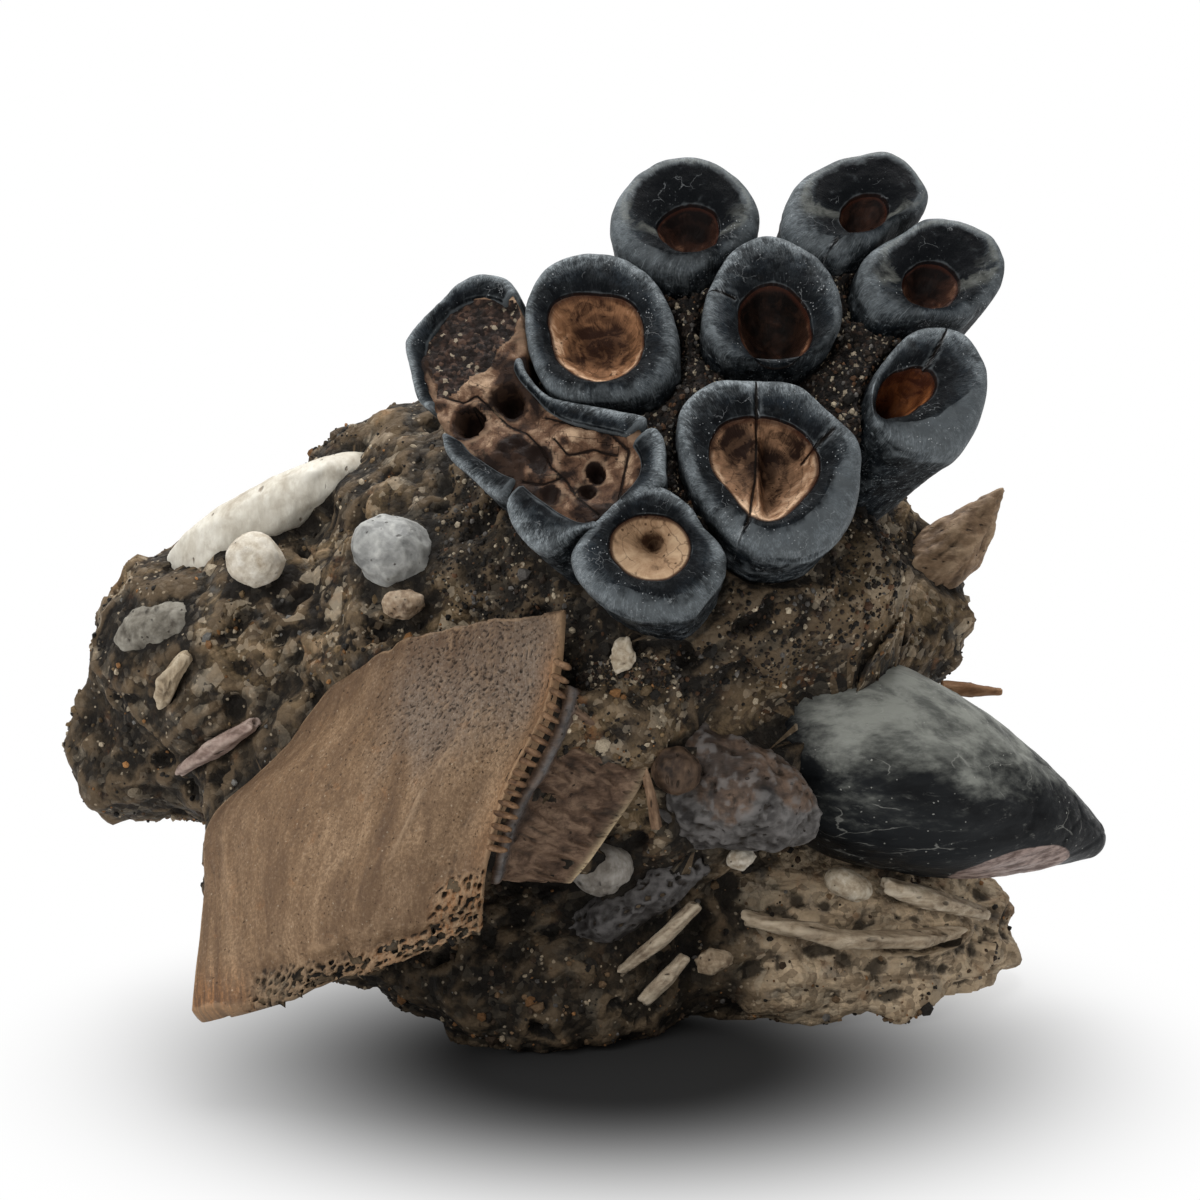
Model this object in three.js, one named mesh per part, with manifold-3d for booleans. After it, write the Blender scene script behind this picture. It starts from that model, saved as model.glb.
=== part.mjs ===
// A fossil desmostylus tooth still seated on its block of bone-bed matrix.
// The tooth is a bundle of enamel pillars that lean together towards one root and sink into the block.
// Other fossils are bedded in the same block: two sutured bone plates, a second tooth lying on its side,
// bone lumps and splinters, shell and pebbles.
// Millimetres, +Z up. The block stands on z = 0, -Y is the front and +X the right-hand side.
import * as THREE from "three";
import { mergeVertices } from "three/addons/utils/BufferGeometryUtils.js";
import Module from "manifold-3d";

const wasm = await Module();
wasm.setup();

// ---- driving dimensions -------------------------------------------------------------------------
const GAP = 0.4; // clearance that every bedded piece keeps to what holds it
const PILLAR_LENGTH = 38;
const SEAT_GROWTH = 0.7; // clearance round the crown's end of a pillar, half as much at the root
const PILLAR_SIDES = 16;
const TOOTH_PLACE = [0.4, -25, 62.8]; // a point on the chewing surface
const TOOTH_TILT = THREE.MathUtils.degToRad(50); // the pillars rise forwards at 40 degrees
const ROOT_CENTRE = [14, 30]; // the pillars lean towards this line, in tooth coordinates
const ROOT_NARROWING = [0.5, 0.38]; // share of the crown's width and depth lost at the root
// Every point of the block's surface is in sight of this one.
const BLOCK_CORE = new THREE.Vector3(0, 22, 36);
const BLOCK_DETAIL = 8;

// Colours and roughness of what the pieces are made of.
const FINISHES = {
  matrix: ["#5b4a35", 0.95],
  enamel: ["#2b3138", 0.42],
  darkTooth: ["#3a3d3e", 0.38],
  tanBone: ["#8a6f52", 0.7],
  darkBone: ["#5a493b", 0.75],
  greyBone: ["#56514d", 0.6],
  orangeBone: ["#9c7450", 0.7],
  paleBone: ["#b3a489", 0.75],
  pinkBone: ["#a8938a", 0.65],
  shell: ["#cfcabb", 0.6],
  whiteStone: ["#d2ccbd", 0.7],
  greyStone: ["#8f908e", 0.7],
  brownStone: ["#6d6051", 0.85],
};

// ---- small mathematics --------------------------------------------------------------------------
// A repeatable number from 0 to 1 for a point of the whole-number lattice.
function latticeValue(i, j, k) {
  const s = Math.sin(i * 127.1 + j * 311.7 + k * 74.7) * 43758.5453;
  return s - Math.floor(s);
}

// Smooth noise from -1 to 1 at a point.
function noise(x, y, z) {
  const [i, j, k] = [Math.floor(x), Math.floor(y), Math.floor(z)];
  const ease = (t) => t * t * (3 - 2 * t);
  const [u, v, w] = [ease(x - i), ease(y - j), ease(z - k)];
  let sum = 0;
  for (const [di, wi] of [[0, 1 - u], [1, u]])
    for (const [dj, wj] of [[0, 1 - v], [1, v]])
      for (const [dk, wk] of [[0, 1 - w], [1, w]])
        sum += wi * wj * wk * latticeValue(i + di, j + dj, k + dk);
  return 2 * sum - 1;
}

// A smooth closed outline through radii given at even turns from +X, read at any angle.
function outlineRadius(radii, angle) {
  const n = radii.length;
  const t = (((angle / (2 * Math.PI)) % 1) + 1) % 1 * n;
  const i = Math.floor(t);
  const [a, b, c, d] = [-1, 0, 1, 2].map((s) => radii[(i + s + n) % n]);
  const f = t - i;
  return b + 0.5 * f * (c - a + f * (2 * a - 5 * b + 4 * c - d + f * (3 * (b - c) + d - a)));
}

// A number read from an evenly spaced row of values at t from 0 to 1, smoothly.
function alongRow(row, t) {
  const s = t * (row.length - 1);
  const i = Math.min(Math.floor(s), row.length - 2);
  const at = (k) => row[Math.max(0, Math.min(row.length - 1, k))];
  const [a, b, c, d] = [at(i - 1), at(i), at(i + 1), at(i + 2)];
  const f = s - i;
  return b + 0.5 * f * (c - a + f * (2 * a - 5 * b + 4 * c - d + f * (3 * (b - c) + d - a)));
}

// ---- meshes and solids --------------------------------------------------------------------------
// The geometry with only its positions, its shared vertices joined.
function bare(geometry) {
  const positions = new THREE.BufferGeometry().setAttribute("position", geometry.getAttribute("position"));
  if (geometry.index) positions.setIndex(geometry.index);
  return mergeVertices(positions, 1e-4);
}

// Moves every vertex of a geometry by a function of its place and index.
function reshape(geometry, move) {
  const at = geometry.getAttribute("position");
  const p = new THREE.Vector3();
  for (let i = 0; i < at.count; i++) {
    move(p.fromBufferAttribute(at, i), i);
    at.setXYZ(i, p.x, p.y, p.z);
  }
  return geometry;
}

// The solid that a closed geometry bounds.
function solidOf(geometry) {
  const g = bare(geometry);
  const vertProperties = g.attributes.position.array;
  const triVerts = new Uint32Array(g.index.array);
  return new wasm.Manifold(new wasm.Mesh({ numProp: 3, vertProperties, triVerts }));
}

// The geometry of a solid's surface.
function geometryOf(solid) {
  const mesh = solid.getMesh();
  return new THREE.BufferGeometry()
    .setAttribute("position", new THREE.BufferAttribute(new Float32Array(mesh.vertProperties), 3))
    .setIndex(new THREE.BufferAttribute(new Uint32Array(mesh.triVerts), 1));
}

// The solid of a geometry whose surface is moved outwards, to cut its seat in a neighbour.
function grownSolid(geometry, gap) {
  const g = bare(geometry);
  g.computeVertexNormals();
  const normals = g.getAttribute("normal");
  const n = new THREE.Vector3();
  reshape(g, (p, i) => p.addScaledVector(n.fromBufferAttribute(normals, i), gap));
  return solidOf(g);
}

// The biggest closed body of a geometry, without the crumbs left between two seats.
function largestBody(geometry) {
  const g = mergeVertices(geometry, 2e-3);
  const index = Array.from(g.index.array);
  const parent = Array.from({ length: g.getAttribute("position").count }, (_, i) => i);
  const root = (i) => (parent[i] === i ? i : (parent[i] = root(parent[i])));
  for (let i = 0; i < index.length; i += 3) {
    parent[root(index[i])] = root(index[i + 1]);
    parent[root(index[i + 1])] = root(index[i + 2]);
  }
  const sizes = new Map();
  for (const i of index) {
    sizes.set(root(i), (sizes.get(root(i)) ?? 0) + 1);
  }
  const biggest = [...sizes.entries()].sort((a, b) => b[1] - a[1])[0][0];
  const kept = [];
  for (let i = 0; i < index.length; i += 3) {
    if (root(index[i]) === biggest) kept.push(index[i], index[i + 1], index[i + 2]);
  }
  return new THREE.BufferGeometry().setAttribute("position", g.getAttribute("position")).setIndex(kept);
}

// ---- shapes -------------------------------------------------------------------------------------
// A rounded stone: radii along X, Y and Z, a place, turns about X, Y and Z in degrees, and how lumpy it is.
function pebble({ radii, at, turn = [0, 0, 0], lumps = 0.12, detail = 1, seed = 0 }) {
  const g = new THREE.IcosahedronGeometry(1, detail);
  reshape(g, (p) => p.multiplyScalar(1 + lumps * noise(p.x * 1.7 + seed, p.y * 1.7, p.z * 1.7 + seed)));
  g.scale(...radii);
  const turned = new THREE.Euler(...turn.map(THREE.MathUtils.degToRad));
  g.applyMatrix4(new THREE.Matrix4().makeRotationFromEuler(turned));
  return g.translate(...at);
}

// A bar through stations, each a centre and two half-widths: across the bar, and up.
function bar(stations, sides = 6) {
  const n = stations.length;
  const g = new THREE.CylinderGeometry(1, 1, 1, sides, n - 1);
  const centres = stations.map((s) => new THREE.Vector3(...s.slice(0, 3)));
  const up = new THREE.Vector3(0, 0, 1);
  return reshape(g, (p) => {
    const k = Math.round((0.5 - p.y) * (n - 1));
    const along = centres[Math.min(k + 1, n - 1)].clone().sub(centres[Math.max(k - 1, 0)]).normalize();
    const across = new THREE.Vector3().crossVectors(along, up).normalize();
    const rise = new THREE.Vector3().crossVectors(across, along);
    const [, , , wide, tall] = stations[k];
    p.copy(centres[k].clone().addScaledVector(across, p.x * wide).addScaledVector(rise, -p.z * tall));
  });
}

// A curved plate: net holds rows of [x, y, z] from one edge to the other, and thick gives its
// thickness at each row.
function plate(net, thick, across, down) {
  const g = new THREE.BoxGeometry(1, 1, 1, across, down, 1);
  const coordinate = (k, s, t) => alongRow(net.map((row) => alongRow(row.map((q) => q[k]), s)), t);
  const surface = (s, t) => new THREE.Vector3(...[0, 1, 2].map((k) => coordinate(k, s, t)));
  const step = 0.01;
  return reshape(g, (p) => {
    const [s, t, side] = [p.x + 0.5, 0.5 - p.y, p.z];
    const inside = (v) => Math.min(Math.max(v, step), 1 - step);
    const ds = surface(inside(s) + step, t).sub(surface(inside(s) - step, t));
    const dt = surface(s, inside(t) + step).sub(surface(s, inside(t) - step));
    const outward = dt.cross(ds).normalize();
    p.copy(surface(s, t)).addScaledVector(outward, side > 0 ? 0 : -alongRow(thick, t));
  });
}

// One pillar of the tooth, in tooth coordinates: x to the right, y up the chewing surface, z along
// the pillar. rim and cup are outlines, as radii at even turns, round the pillar's side and the worn
// hollow in its end.
// growth thickens the pillar all over, which makes the shape of its seat in the block.
function pillar({ at, rim, cupAt, cup, depth }, growth = 0) {
  // Each ring: 0 for the side to 1 for the hollow, share of the outline's radius, height.
  const rings = [
    [0, 0, -PILLAR_LENGTH],
    [0, 0.9, -PILLAR_LENGTH],
    [0, 0.97, -0.5 * PILLAR_LENGTH],
    [0, 1, -5],
    [0, 0.97, -1.8],
    [0.5, 1, 0],
    [1, 1, -1],
    [1, 0.75, -0.8 * depth],
    [1, 0, -depth],
  ];
  const profile = rings.map(([, share, h]) => new THREE.Vector2(share > 0 ? 1 : 0, h));
  const g = new THREE.LatheGeometry(profile, PILLAR_SIDES).rotateX(Math.PI / 2);
  const around = (centre, outline, share, thicker, angle) => {
    const radius = share * (outlineRadius(outline, angle) + thicker);
    return new THREE.Vector2(centre[0] + radius * Math.cos(angle), centre[1] + radius * Math.sin(angle));
  };
  reshape(g, (p, index) => {
    const [hollow, share, h] = rings[index % rings.length];
    const angle = (Math.floor(index / rings.length) / PILLAR_SIDES) * 2 * Math.PI;
    const side = around(at, rim, share, growth, angle);
    const place = side.lerp(around(cupAt, cup, share, -growth, angle), hollow);
    p.set(place.x, place.y, h + at[2] + (h < -PILLAR_LENGTH / 2 ? -growth : growth));
  });
  return towardsRoot(g);
}

// Draws pillars together towards the root, the deeper the more.
function towardsRoot(geometry) {
  return reshape(geometry, (p) => {
    const depth = -p.z / PILLAR_LENGTH;
    p.x -= (p.x - ROOT_CENTRE[0]) * ROOT_NARROWING[0] * depth;
    p.y -= (p.y - ROOT_CENTRE[1]) * ROOT_NARROWING[1] * depth;
  });
}

// Tooth coordinates to the part's own.
const toothPlacement = new THREE.Matrix4()
  .makeRotationX(TOOTH_TILT)
  .setPosition(...TOOTH_PLACE);

// ---- the tooth ----------------------------------------------------------------------------------
const PILLARS = {
  tooth_pillar_back_left: {
    at: [10, 53.8, 0.5], rim: [9.6, 9.2, 9, 8.8, 8.5, 8.6, 9.2, 10, 9.6, 9.4, 8.2, 9],
    cupAt: [10.7, 50.6], cup: [3.6, 3.9, 3.7, 3.5, 4, 3.6, 3.7, 3.8], depth: 4,
  },
  tooth_pillar_back_right: {
    at: [32.6, 55.9, 0], rim: [8.8, 9.2, 9.2, 8, 7.6, 8, 9.6, 11, 9.4, 7.2, 5.8, 5.8],
    cupAt: [32.7, 53.3], cup: [2.9, 3.5, 2.9, 2.6, 2.9, 3.4, 2.9, 2.6], depth: 3.5,
  },
  tooth_pillar_right: {
    at: [41.6, 45.4, 0], rim: [8.7, 9.2, 8.8, 8, 7.2, 8, 9.6, 9.8, 8.4, 7, 7.6, 8.2],
    cupAt: [40.4, 42.4], cup: [3.5, 3.6, 3.7, 3.3, 3.5, 3.6, 3.6, 3.4], depth: 4,
  },
  tooth_pillar_centre: {
    at: [20.3, 40.4, 0.5], rim: [8.9, 8.6, 9.2, 9.4, 8.4, 7.6, 8, 9.4, 9.6, 9.2, 9.6, 9.8],
    cupAt: [20.8, 36.2], cup: [4.5, 4.7, 6, 5.2, 4.4, 4.9, 6.4, 5.3], depth: 5.5,
  },
  tooth_pillar_left: {
    at: [-0.6, 35.8, 0.5], rim: [9.5, 9.5, 10.7, 11.4, 11.4, 10.2, 9, 9.6, 10.8, 10, 10.6, 10.4],
    cupAt: [-1, 34.7], cup: [5.8, 6.2, 6, 7, 5.5, 5.8, 6.5, 6.4], depth: 6,
  },
  tooth_pillar_front: {
    at: [5.5, 4.4, 0], rim: [8.7, 7.4, 8.4, 9.8, 8.4, 8.4, 9.4, 9, 8.4, 8.4, 8.8, 8.8],
    cupAt: [5.3, 5.3], cup: [4.6, 4.6, 4.4, 4.7, 4.7, 4.2, 4.3, 4.6], depth: 3,
  },
  tooth_pillar_front_right: {
    at: [18.1, 19, 0.5], rim: [12.6, 10.3, 10, 9.6, 10.5, 10.3, 9.2, 9.4, 10.8, 14.4, 15.5, 14.4],
    cupAt: [19, 16.3], cup: [6.4, 6.4, 6.6, 7.4, 6.3, 5.6, 7.6, 6.2], depth: 6,
  },
  tooth_pillar_far_right: {
    at: [39.8, 28.3, -0.5], rim: [7.5, 8.2, 9, 8.9, 7.1, 6.4, 6.8, 8.2, 9.2, 9, 9.4, 8.4],
    cupAt: [36.5, 27], cup: [3.5, 4.5, 3.4, 3.1, 2.8, 3.8, 3, 2.5], depth: 6,
  },
};

// The double pillar at the left: two pillars grown into each other, their worn ends broken.
const DOUBLE_PILLAR = [
  {
    at: [-18.6, 36.9, -0.5], rim: [6.6, 8.8, 10.2, 8.8, 7.8, 7, 6.8, 8, 10.4, 13, 12.4, 9.4],
    cupAt: [-18.2, 34.6], cup: [3.6, 6.2, 6, 4.6, 4.2, 5.5, 6.5, 3.8], depth: 4,
  },
  {
    at: [-6, 17.5, -0.5], rim: [13.2, 12.6, 8.2, 7, 10.1, 14, 14, 9.8, 9.8, 10.6, 7.8, 8.8],
    cupAt: [-4.6, 17.9], cup: [8.4, 5.6, 4.6, 7.5, 7.1, 5.7, 6.6, 6.6], depth: 6,
  },
];

const placedPillar = (sizes, growth) => pillar(sizes, growth).applyMatrix4(toothPlacement);
const singlePillars = Object.entries(PILLARS).map(([name, sizes]) => [name, placedPillar(sizes)]);
const [upperLobe, lowerLobe] = DOUBLE_PILLAR.map((sizes) => solidOf(placedPillar(sizes)));
const doublePillar = geometryOf(upperLobe.add(lowerLobe));
const allPillars = [...Object.values(PILLARS), ...DOUBLE_PILLAR];
const pillarSeats = allPillars.map((sizes) => placedPillar(sizes, SEAT_GROWTH));

// ---- bones, shell and pebbles bedded in the block -----------------------------------------------
// The big brown plate: rows run from its left edge to its toothed right edge, from the top down.
const BONE_PLATE_NET = [
  [[-34, 0, 45], [-25, -5, 52], [-14, -11, 56], [-4.5, -16, 58.5]],
  [[-41, 1, 36], [-29, -9, 43.5], [-16, -17, 48], [-6, -22, 48.5]],
  [[-50, 0, 27.5], [-36, -13, 33], [-21, -22, 37], [-10.5, -25, 39.5]],
  [[-49.5, -10, 20], [-39, -19, 23.5], [-26, -25, 26], [-13, -26, 30]],
  [[-49, -24, 10.5], [-40, -25.5, 12.5], [-28, -26.5, 16], [-13.5, -25, 20.5]],
];
const BONE_PLATE_THICK = [1.6, 2.6, 3.4, 4, 3];
// The dark bone that meets the plate at the suture and runs back into the block.
const BONE_FLANGE_NET = [
  [[-3.2, -18.6, 49.6], [1.8, -17, 47], [7.5, -14.5, 43.5]],
  [[-6, -21.4, 42], [-0.6, -17.5, 39.5], [5.2, -14.8, 36.5]],
  [[-10.6, -22.6, 34], [-5, -19, 31.5], [0.6, -16.5, 30]],
  [[-12.4, -22.2, 26.5], [-8, -20.5, 25.5], [-3.5, -18.5, 25]],
];
const BONE_FLANGE_THICK = [2.4, 3, 3, 2.4];

const SECOND_TOOTH = [
  [17, 12, 42, 1.5, 3],
  [23, 8, 40, 8, 8.4],
  [32, 5, 35, 12, 13],
  [42, 5, 31.2, 12.5, 12.2],
  [52, 7, 27.2, 10, 9.2],
  [60, 9, 23.8, 6, 5.6],
  [66.4, 10, 21, 2, 1.8],
];

// Each bedded piece: its shape and its finish.
const EMBEDDED = {
  bone_plate: [plate(BONE_PLATE_NET, BONE_PLATE_THICK, 8, 10), FINISHES.tanBone],
  bone_flange: [plate(BONE_FLANGE_NET, BONE_FLANGE_THICK, 4, 6), FINISHES.darkBone],
  second_tooth: [bar(SECOND_TOOTH, 14), FINISHES.darkTooth],
  knuckle_bone: [
    bar([[7.6, -4, 34, 3, 6], [12, -8.5, 34.6, 5, 8], [18, -10.5, 33.4, 4.8, 7],
      [23.5, -10.5, 31, 3.6, 5], [27, -10, 30, 1.4, 2]], 10),
    FINISHES.greyBone,
  ],
  bone_nodule: [pebble({ radii: [3, 2.6, 3.2], at: [9.2, -15, 38], seed: 3 }), FINISHES.darkBone],
  thin_splinter: [
    bar([[5.2, -18.4, 39.5, 0.4, 0.4], [6.2, -18, 35.5, 0.8, 0.7], [6.8, -17.6, 31.8, 1, 0.8]], 5),
    FINISHES.orangeBone,
  ],
  pitted_bone: [
    bar([[-6, -4, 13, 3, 2], [1, -7.5, 17, 4, 3.2], [8, -7.5, 21.2, 4, 3], [13, -6, 24, 2, 1.6]], 8),
    FINISHES.greyBone,
  ],
  pale_splinter_long: [
    bar([[2.5, -9.5, 10.5, 1, 0.7], [7, -10.4, 14.6, 1.6, 1.1], [12, -9.2, 19.2, 1.4, 0.9]], 6),
    FINISHES.paleBone,
  ],
  pale_splinter_short: [
    bar([[5.5, -9.5, 6.6, 0.8, 0.6], [8.5, -9.6, 9.8, 1.3, 1], [10.5, -9, 12.2, 0.8, 0.7]], 6),
    FINISHES.paleBone,
  ],
  pale_flake_low: [
    pebble({ radii: [2.8, 1.6, 1.8], at: [14.4, -8.4, 11.4], turn: [0, -20, -8], lumps: 0.3, seed: 8 }),
    FINISHES.paleBone,
  ],
  rib_splinter: [
    bar([[18, -5.5, 16.2, 1, 0.8], [30, -4, 12.8, 1.8, 1.4], [41, 0, 11.4, 1.8, 1.3],
      [47.5, 5, 10.4, 1, 0.8]], 6),
    FINISHES.paleBone,
  ],
  pale_ledge_splinter: [
    bar([[36.5, 0, 18.6, 1.2, 0.9], [42.7, 2, 15.9, 2.2, 1.5], [50.5, 6, 12.8, 1.6, 1.2]], 6),
    FINISHES.paleBone,
  ],
  white_pebble_right: [
    pebble({ radii: [3.4, 2.6, 2], at: [31.4, -2.6, 19.6], turn: [0, 20, 0], seed: 5 }),
    FINISHES.whiteStone,
  ],
  pale_chip: [
    pebble({ radii: [1.8, 1.6, 1.6], at: [17.6, -8, 25], lumps: 0.25, seed: 11 }),
    FINISHES.whiteStone,
  ],
  white_pebble_low: [
    pebble({ radii: [4.2, 3.4, 3.2], at: [0, -9.5, 24], seed: 13 }),
    FINISHES.whiteStone,
  ],
  pale_flake_front: [
    pebble({ radii: [1.7, 1.1, 2.2], at: [2.6, -14.6, 52.4], turn: [0, 15, 0], lumps: 0.4, seed: 17 }),
    FINISHES.shell,
  ],
  tan_chip: [
    pebble({ radii: [3, 2.4, 2], at: [-24.5, -2, 56], turn: [0, -10, 20], lumps: 0.3, seed: 19 }),
    FINISHES.orangeBone,
  ],
  white_slab: [
    pebble({
      radii: [16.5, 7, 4.4], at: [-45, 26, 62], turn: [-24, -30, -10], lumps: 0.16, detail: 2, seed: 23,
    }),
    FINISHES.shell,
  ],
  white_pebble: [
    pebble({ radii: [3.8, 3.2, 3.6], at: [-44.8, 11.4, 58.8], seed: 29 }),
    FINISHES.whiteStone,
  ],
  grey_pebble: [
    pebble({ radii: [5.6, 4.6, 5], at: [-26, 5, 61.2], turn: [-30, 12, 10], lumps: 0.14, seed: 31 }),
    FINISHES.greyStone,
  ],
  left_pebble: [
    pebble({ radii: [6.4, 4.4, 3.6], at: [-58.6, 15.5, 48.8], turn: [0, -25, -20], seed: 37 }),
    FINISHES.brownStone,
  ],
  pale_streak: [
    bar([[-56.8, 10.6, 39.5, 1, 0.8], [-56, 8.6, 43, 1.8, 1.5], [-53.3, 8.4, 47, 1.2, 1]], 6),
    FINISHES.paleBone,
  ],
  pink_splinter: [
    bar([[-55.2, 9, 31.2, 1, 0.8], [-49.6, 5.4, 35.6, 1.8, 1.3], [-44.2, 3.6, 39.2, 1.4, 1]], 6),
    FINISHES.pinkBone,
  ],
  bone_spike: [
    bar([[44, 38, 51, 5, 5], [50, 39.5, 55.5, 4.6, 4.4], [54, 40.2, 59.8, 2.4, 2.2],
      [57, 40.6, 63.4, 0.6, 0.5]], 8),
    FINISHES.orangeBone,
  ],
  stub_right: [
    bar([[47, 27, 37.8, 2, 1.4], [51, 26.6, 37.8, 1.6, 1.2], [55, 26.2, 37.6, 0.7, 0.6]], 6),
    FINISHES.orangeBone,
  ],
  back_bone_lump: [
    pebble({ radii: [12, 5, 9], at: [-22, 55, 40], turn: [12, 20, 16], lumps: 0.2, detail: 2, seed: 41 }),
    FINISHES.tanBone,
  ],
  back_splinter: [
    bar([[2, 56, 22, 1, 1], [11, 58.5, 29, 2, 1.8], [22, 57, 38, 1.2, 1]], 6),
    FINISHES.paleBone,
  ],
  back_pebble: [
    pebble({ radii: [6, 4.4, 5], at: [20, 56.5, 54], lumps: 0.14, seed: 43 }),
    FINISHES.greyStone,
  ],
  back_pebble_low: [
    pebble({ radii: [5, 4, 4.4], at: [-8, 52, 16], lumps: 0.14, seed: 47 }),
    FINISHES.brownStone,
  ],
};

// ---- the block of matrix ------------------------------------------------------------------------
// Lumps whose joined outside is the block: centre, then half-sizes.
const LUMPS = [
  [-6, 26, 38, 42, 33, 36],
  [-47, 27, 40, 21.5, 20, 22],
  [-18, 36, 60, 26, 17, 16],
  [12, 8, 54, 28, 20, 20],
  [12, 34, 64, 26, 20, 19],
  [4, 4, 38, 24, 17, 24],
  [34, 42, 44, 18, 17, 17],
  [33, 20, 10, 23, 21, 12],
  [-8, 6, 8, 22, 20, 16],
  [22, 18, 8, 28, 22, 14],
  [-34, 3, 24, 17, 18, 17],
  [-62, 22, 28, 8, 10, 9],
];
const LUMP_SHARPNESS = 12; // how crisply one lump gives way to the next
const ROUGHNESS = [
  [15, 2.6],
  [7, 1.1],
]; // wavelength and height of the block's unevenness

// How far a lump reaches from the core along a direction, 0 where it isn't in the way.
function lumpReach([x, y, z, rx, ry, rz], direction) {
  const half = new THREE.Vector3(rx, ry, rz);
  const from = BLOCK_CORE.clone().sub(new THREE.Vector3(x, y, z)).divide(half);
  const step = direction.clone().divide(half);
  const [a, b, c] = [step.lengthSq(), from.dot(step), from.lengthSq() - 1];
  const inside = b * b - a * c;
  return inside > 0 ? Math.max(0, (-b + Math.sqrt(inside)) / a) : 0;
}

// The block before its seats are cut: a ball drawn out to the lumps, flat where it stands.
function block() {
  return reshape(new THREE.IcosahedronGeometry(1, BLOCK_DETAIL), (p) => {
    const direction = p.clone().normalize();
    const total = LUMPS.reduce((sum, lump) => sum + lumpReach(lump, direction) ** LUMP_SHARPNESS, 0);
    let reach = total ** (1 / LUMP_SHARPNESS);
    const at = BLOCK_CORE.clone().addScaledVector(direction, reach);
    for (const [wave, height] of ROUGHNESS) {
      reach += height * noise(at.x / wave, at.y / wave, at.z / wave);
    }
    const toFloor = direction.z < 0 ? BLOCK_CORE.z / -direction.z : Infinity;
    p.copy(BLOCK_CORE).addScaledVector(direction, Math.min(reach, toFloor));
  });
}

let matrixSolid = solidOf(block());
for (const seat of pillarSeats) {
  matrixSolid = matrixSolid.subtract(solidOf(seat));
}
for (const [shape] of Object.values(EMBEDDED)) {
  matrixSolid = matrixSolid.subtract(grownSolid(shape, GAP));
}

// ---- the whole thing ----------------------------------------------------------------------------
// A named piece with a material of its own.
function named(name, geometry, [color, roughness]) {
  const material = new THREE.MeshStandardMaterial({ color, roughness, metalness: 0 });
  const mesh = new THREE.Mesh(geometry, material);
  mesh.name = name;
  return mesh;
}

const fossil = new THREE.Group();
fossil.add(named("matrix_block", largestBody(geometryOf(matrixSolid)), FINISHES.matrix));
for (const [name, shape] of singlePillars) {
  fossil.add(named(name, shape, FINISHES.enamel));
}
fossil.add(named("tooth_double_pillar", doublePillar, FINISHES.enamel));
for (const [name, [shape, finish]] of Object.entries(EMBEDDED)) {
  fossil.add(named(name, shape, finish));
}

// The origin is the middle of the underside of the whole thing's box.
const box = new THREE.Box3().setFromObject(fossil);
const middle = box.getCenter(new THREE.Vector3());
fossil.position.set(-middle.x, -middle.y, -box.min.z);

export default fossil;
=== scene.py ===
"""A fossil desmostylus tooth seated on its block of bone-bed matrix: the visible model.

The tooth is a bundle of enamel pillars with worn dentine cups. Around it the block holds a broad bone
plate with a toothed suture, a dark flange, a second tooth on its side, bone splinters, shell and pebbles.
Shapes are worked out in millimetres and written in metres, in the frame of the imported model.
"""
import logging
import math
from contextlib import contextmanager
from dataclasses import dataclass, field
from enum import Enum
from itertools import product
from typing import Iterator, Optional, Sequence, Union

import bmesh
import bpy
import numpy as np
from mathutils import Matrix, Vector
from mathutils.bvhtree import BVHTree


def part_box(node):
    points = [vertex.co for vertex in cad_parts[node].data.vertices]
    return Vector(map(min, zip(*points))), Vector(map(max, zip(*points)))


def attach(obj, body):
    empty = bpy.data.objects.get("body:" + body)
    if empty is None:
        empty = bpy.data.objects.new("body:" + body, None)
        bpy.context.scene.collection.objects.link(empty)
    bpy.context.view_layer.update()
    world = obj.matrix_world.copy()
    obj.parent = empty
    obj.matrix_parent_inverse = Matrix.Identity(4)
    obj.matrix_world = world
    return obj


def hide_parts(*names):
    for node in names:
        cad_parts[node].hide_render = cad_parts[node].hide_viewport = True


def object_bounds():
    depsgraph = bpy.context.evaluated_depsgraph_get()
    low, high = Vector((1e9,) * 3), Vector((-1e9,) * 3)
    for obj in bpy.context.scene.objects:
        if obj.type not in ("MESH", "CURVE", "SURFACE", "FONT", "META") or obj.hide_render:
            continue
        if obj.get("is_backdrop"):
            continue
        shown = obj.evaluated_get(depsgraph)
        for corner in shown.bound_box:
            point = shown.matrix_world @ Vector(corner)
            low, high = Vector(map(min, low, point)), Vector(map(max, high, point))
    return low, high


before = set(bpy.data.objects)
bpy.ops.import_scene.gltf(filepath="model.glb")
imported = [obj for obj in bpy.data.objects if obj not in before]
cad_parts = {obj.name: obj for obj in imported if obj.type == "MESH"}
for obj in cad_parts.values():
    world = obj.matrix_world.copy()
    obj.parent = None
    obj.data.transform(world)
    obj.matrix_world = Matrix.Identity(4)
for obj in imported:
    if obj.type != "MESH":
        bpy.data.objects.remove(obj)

CAD_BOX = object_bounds()

MM = 0.001
Array = np.ndarray
Colour = tuple[float, float, float]
Point2 = tuple[float, float]
Point3 = tuple[float, float, float]
Mesh = bpy.types.Mesh
Piece = bpy.types.Object
Material = bpy.types.Material
Lines = Sequence[Sequence[Point2]]
Socket = bpy.types.NodeSocket
Input = Union[Socket, float, Sequence[float]]

log = logging.getLogger("fossil")

# Where the drawing's origin lies in the frame, from the edge of the block's box, in millimetres.
DRAWING = np.array([2.55635, -17.76174, 0.0])


class Slot(Enum):
    """The record's material slots."""

    MATRIX = "matrix"
    ENAMEL = "enamel"
    TAN_BONE = "tan_bone"
    DARK_BONE = "dark_bone"
    GREY_BONE = "grey_bone"
    ORANGE_BONE = "orange_bone"
    PALE_BONE = "pale_bone"
    PINK_BONE = "pink_bone"
    DARK_TOOTH = "dark_tooth"
    SHELL = "shell"
    WHITE_STONE = "white_stone"
    GREY_STONE = "grey_stone"
    BROWN_STONE = "brown_stone"


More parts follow.
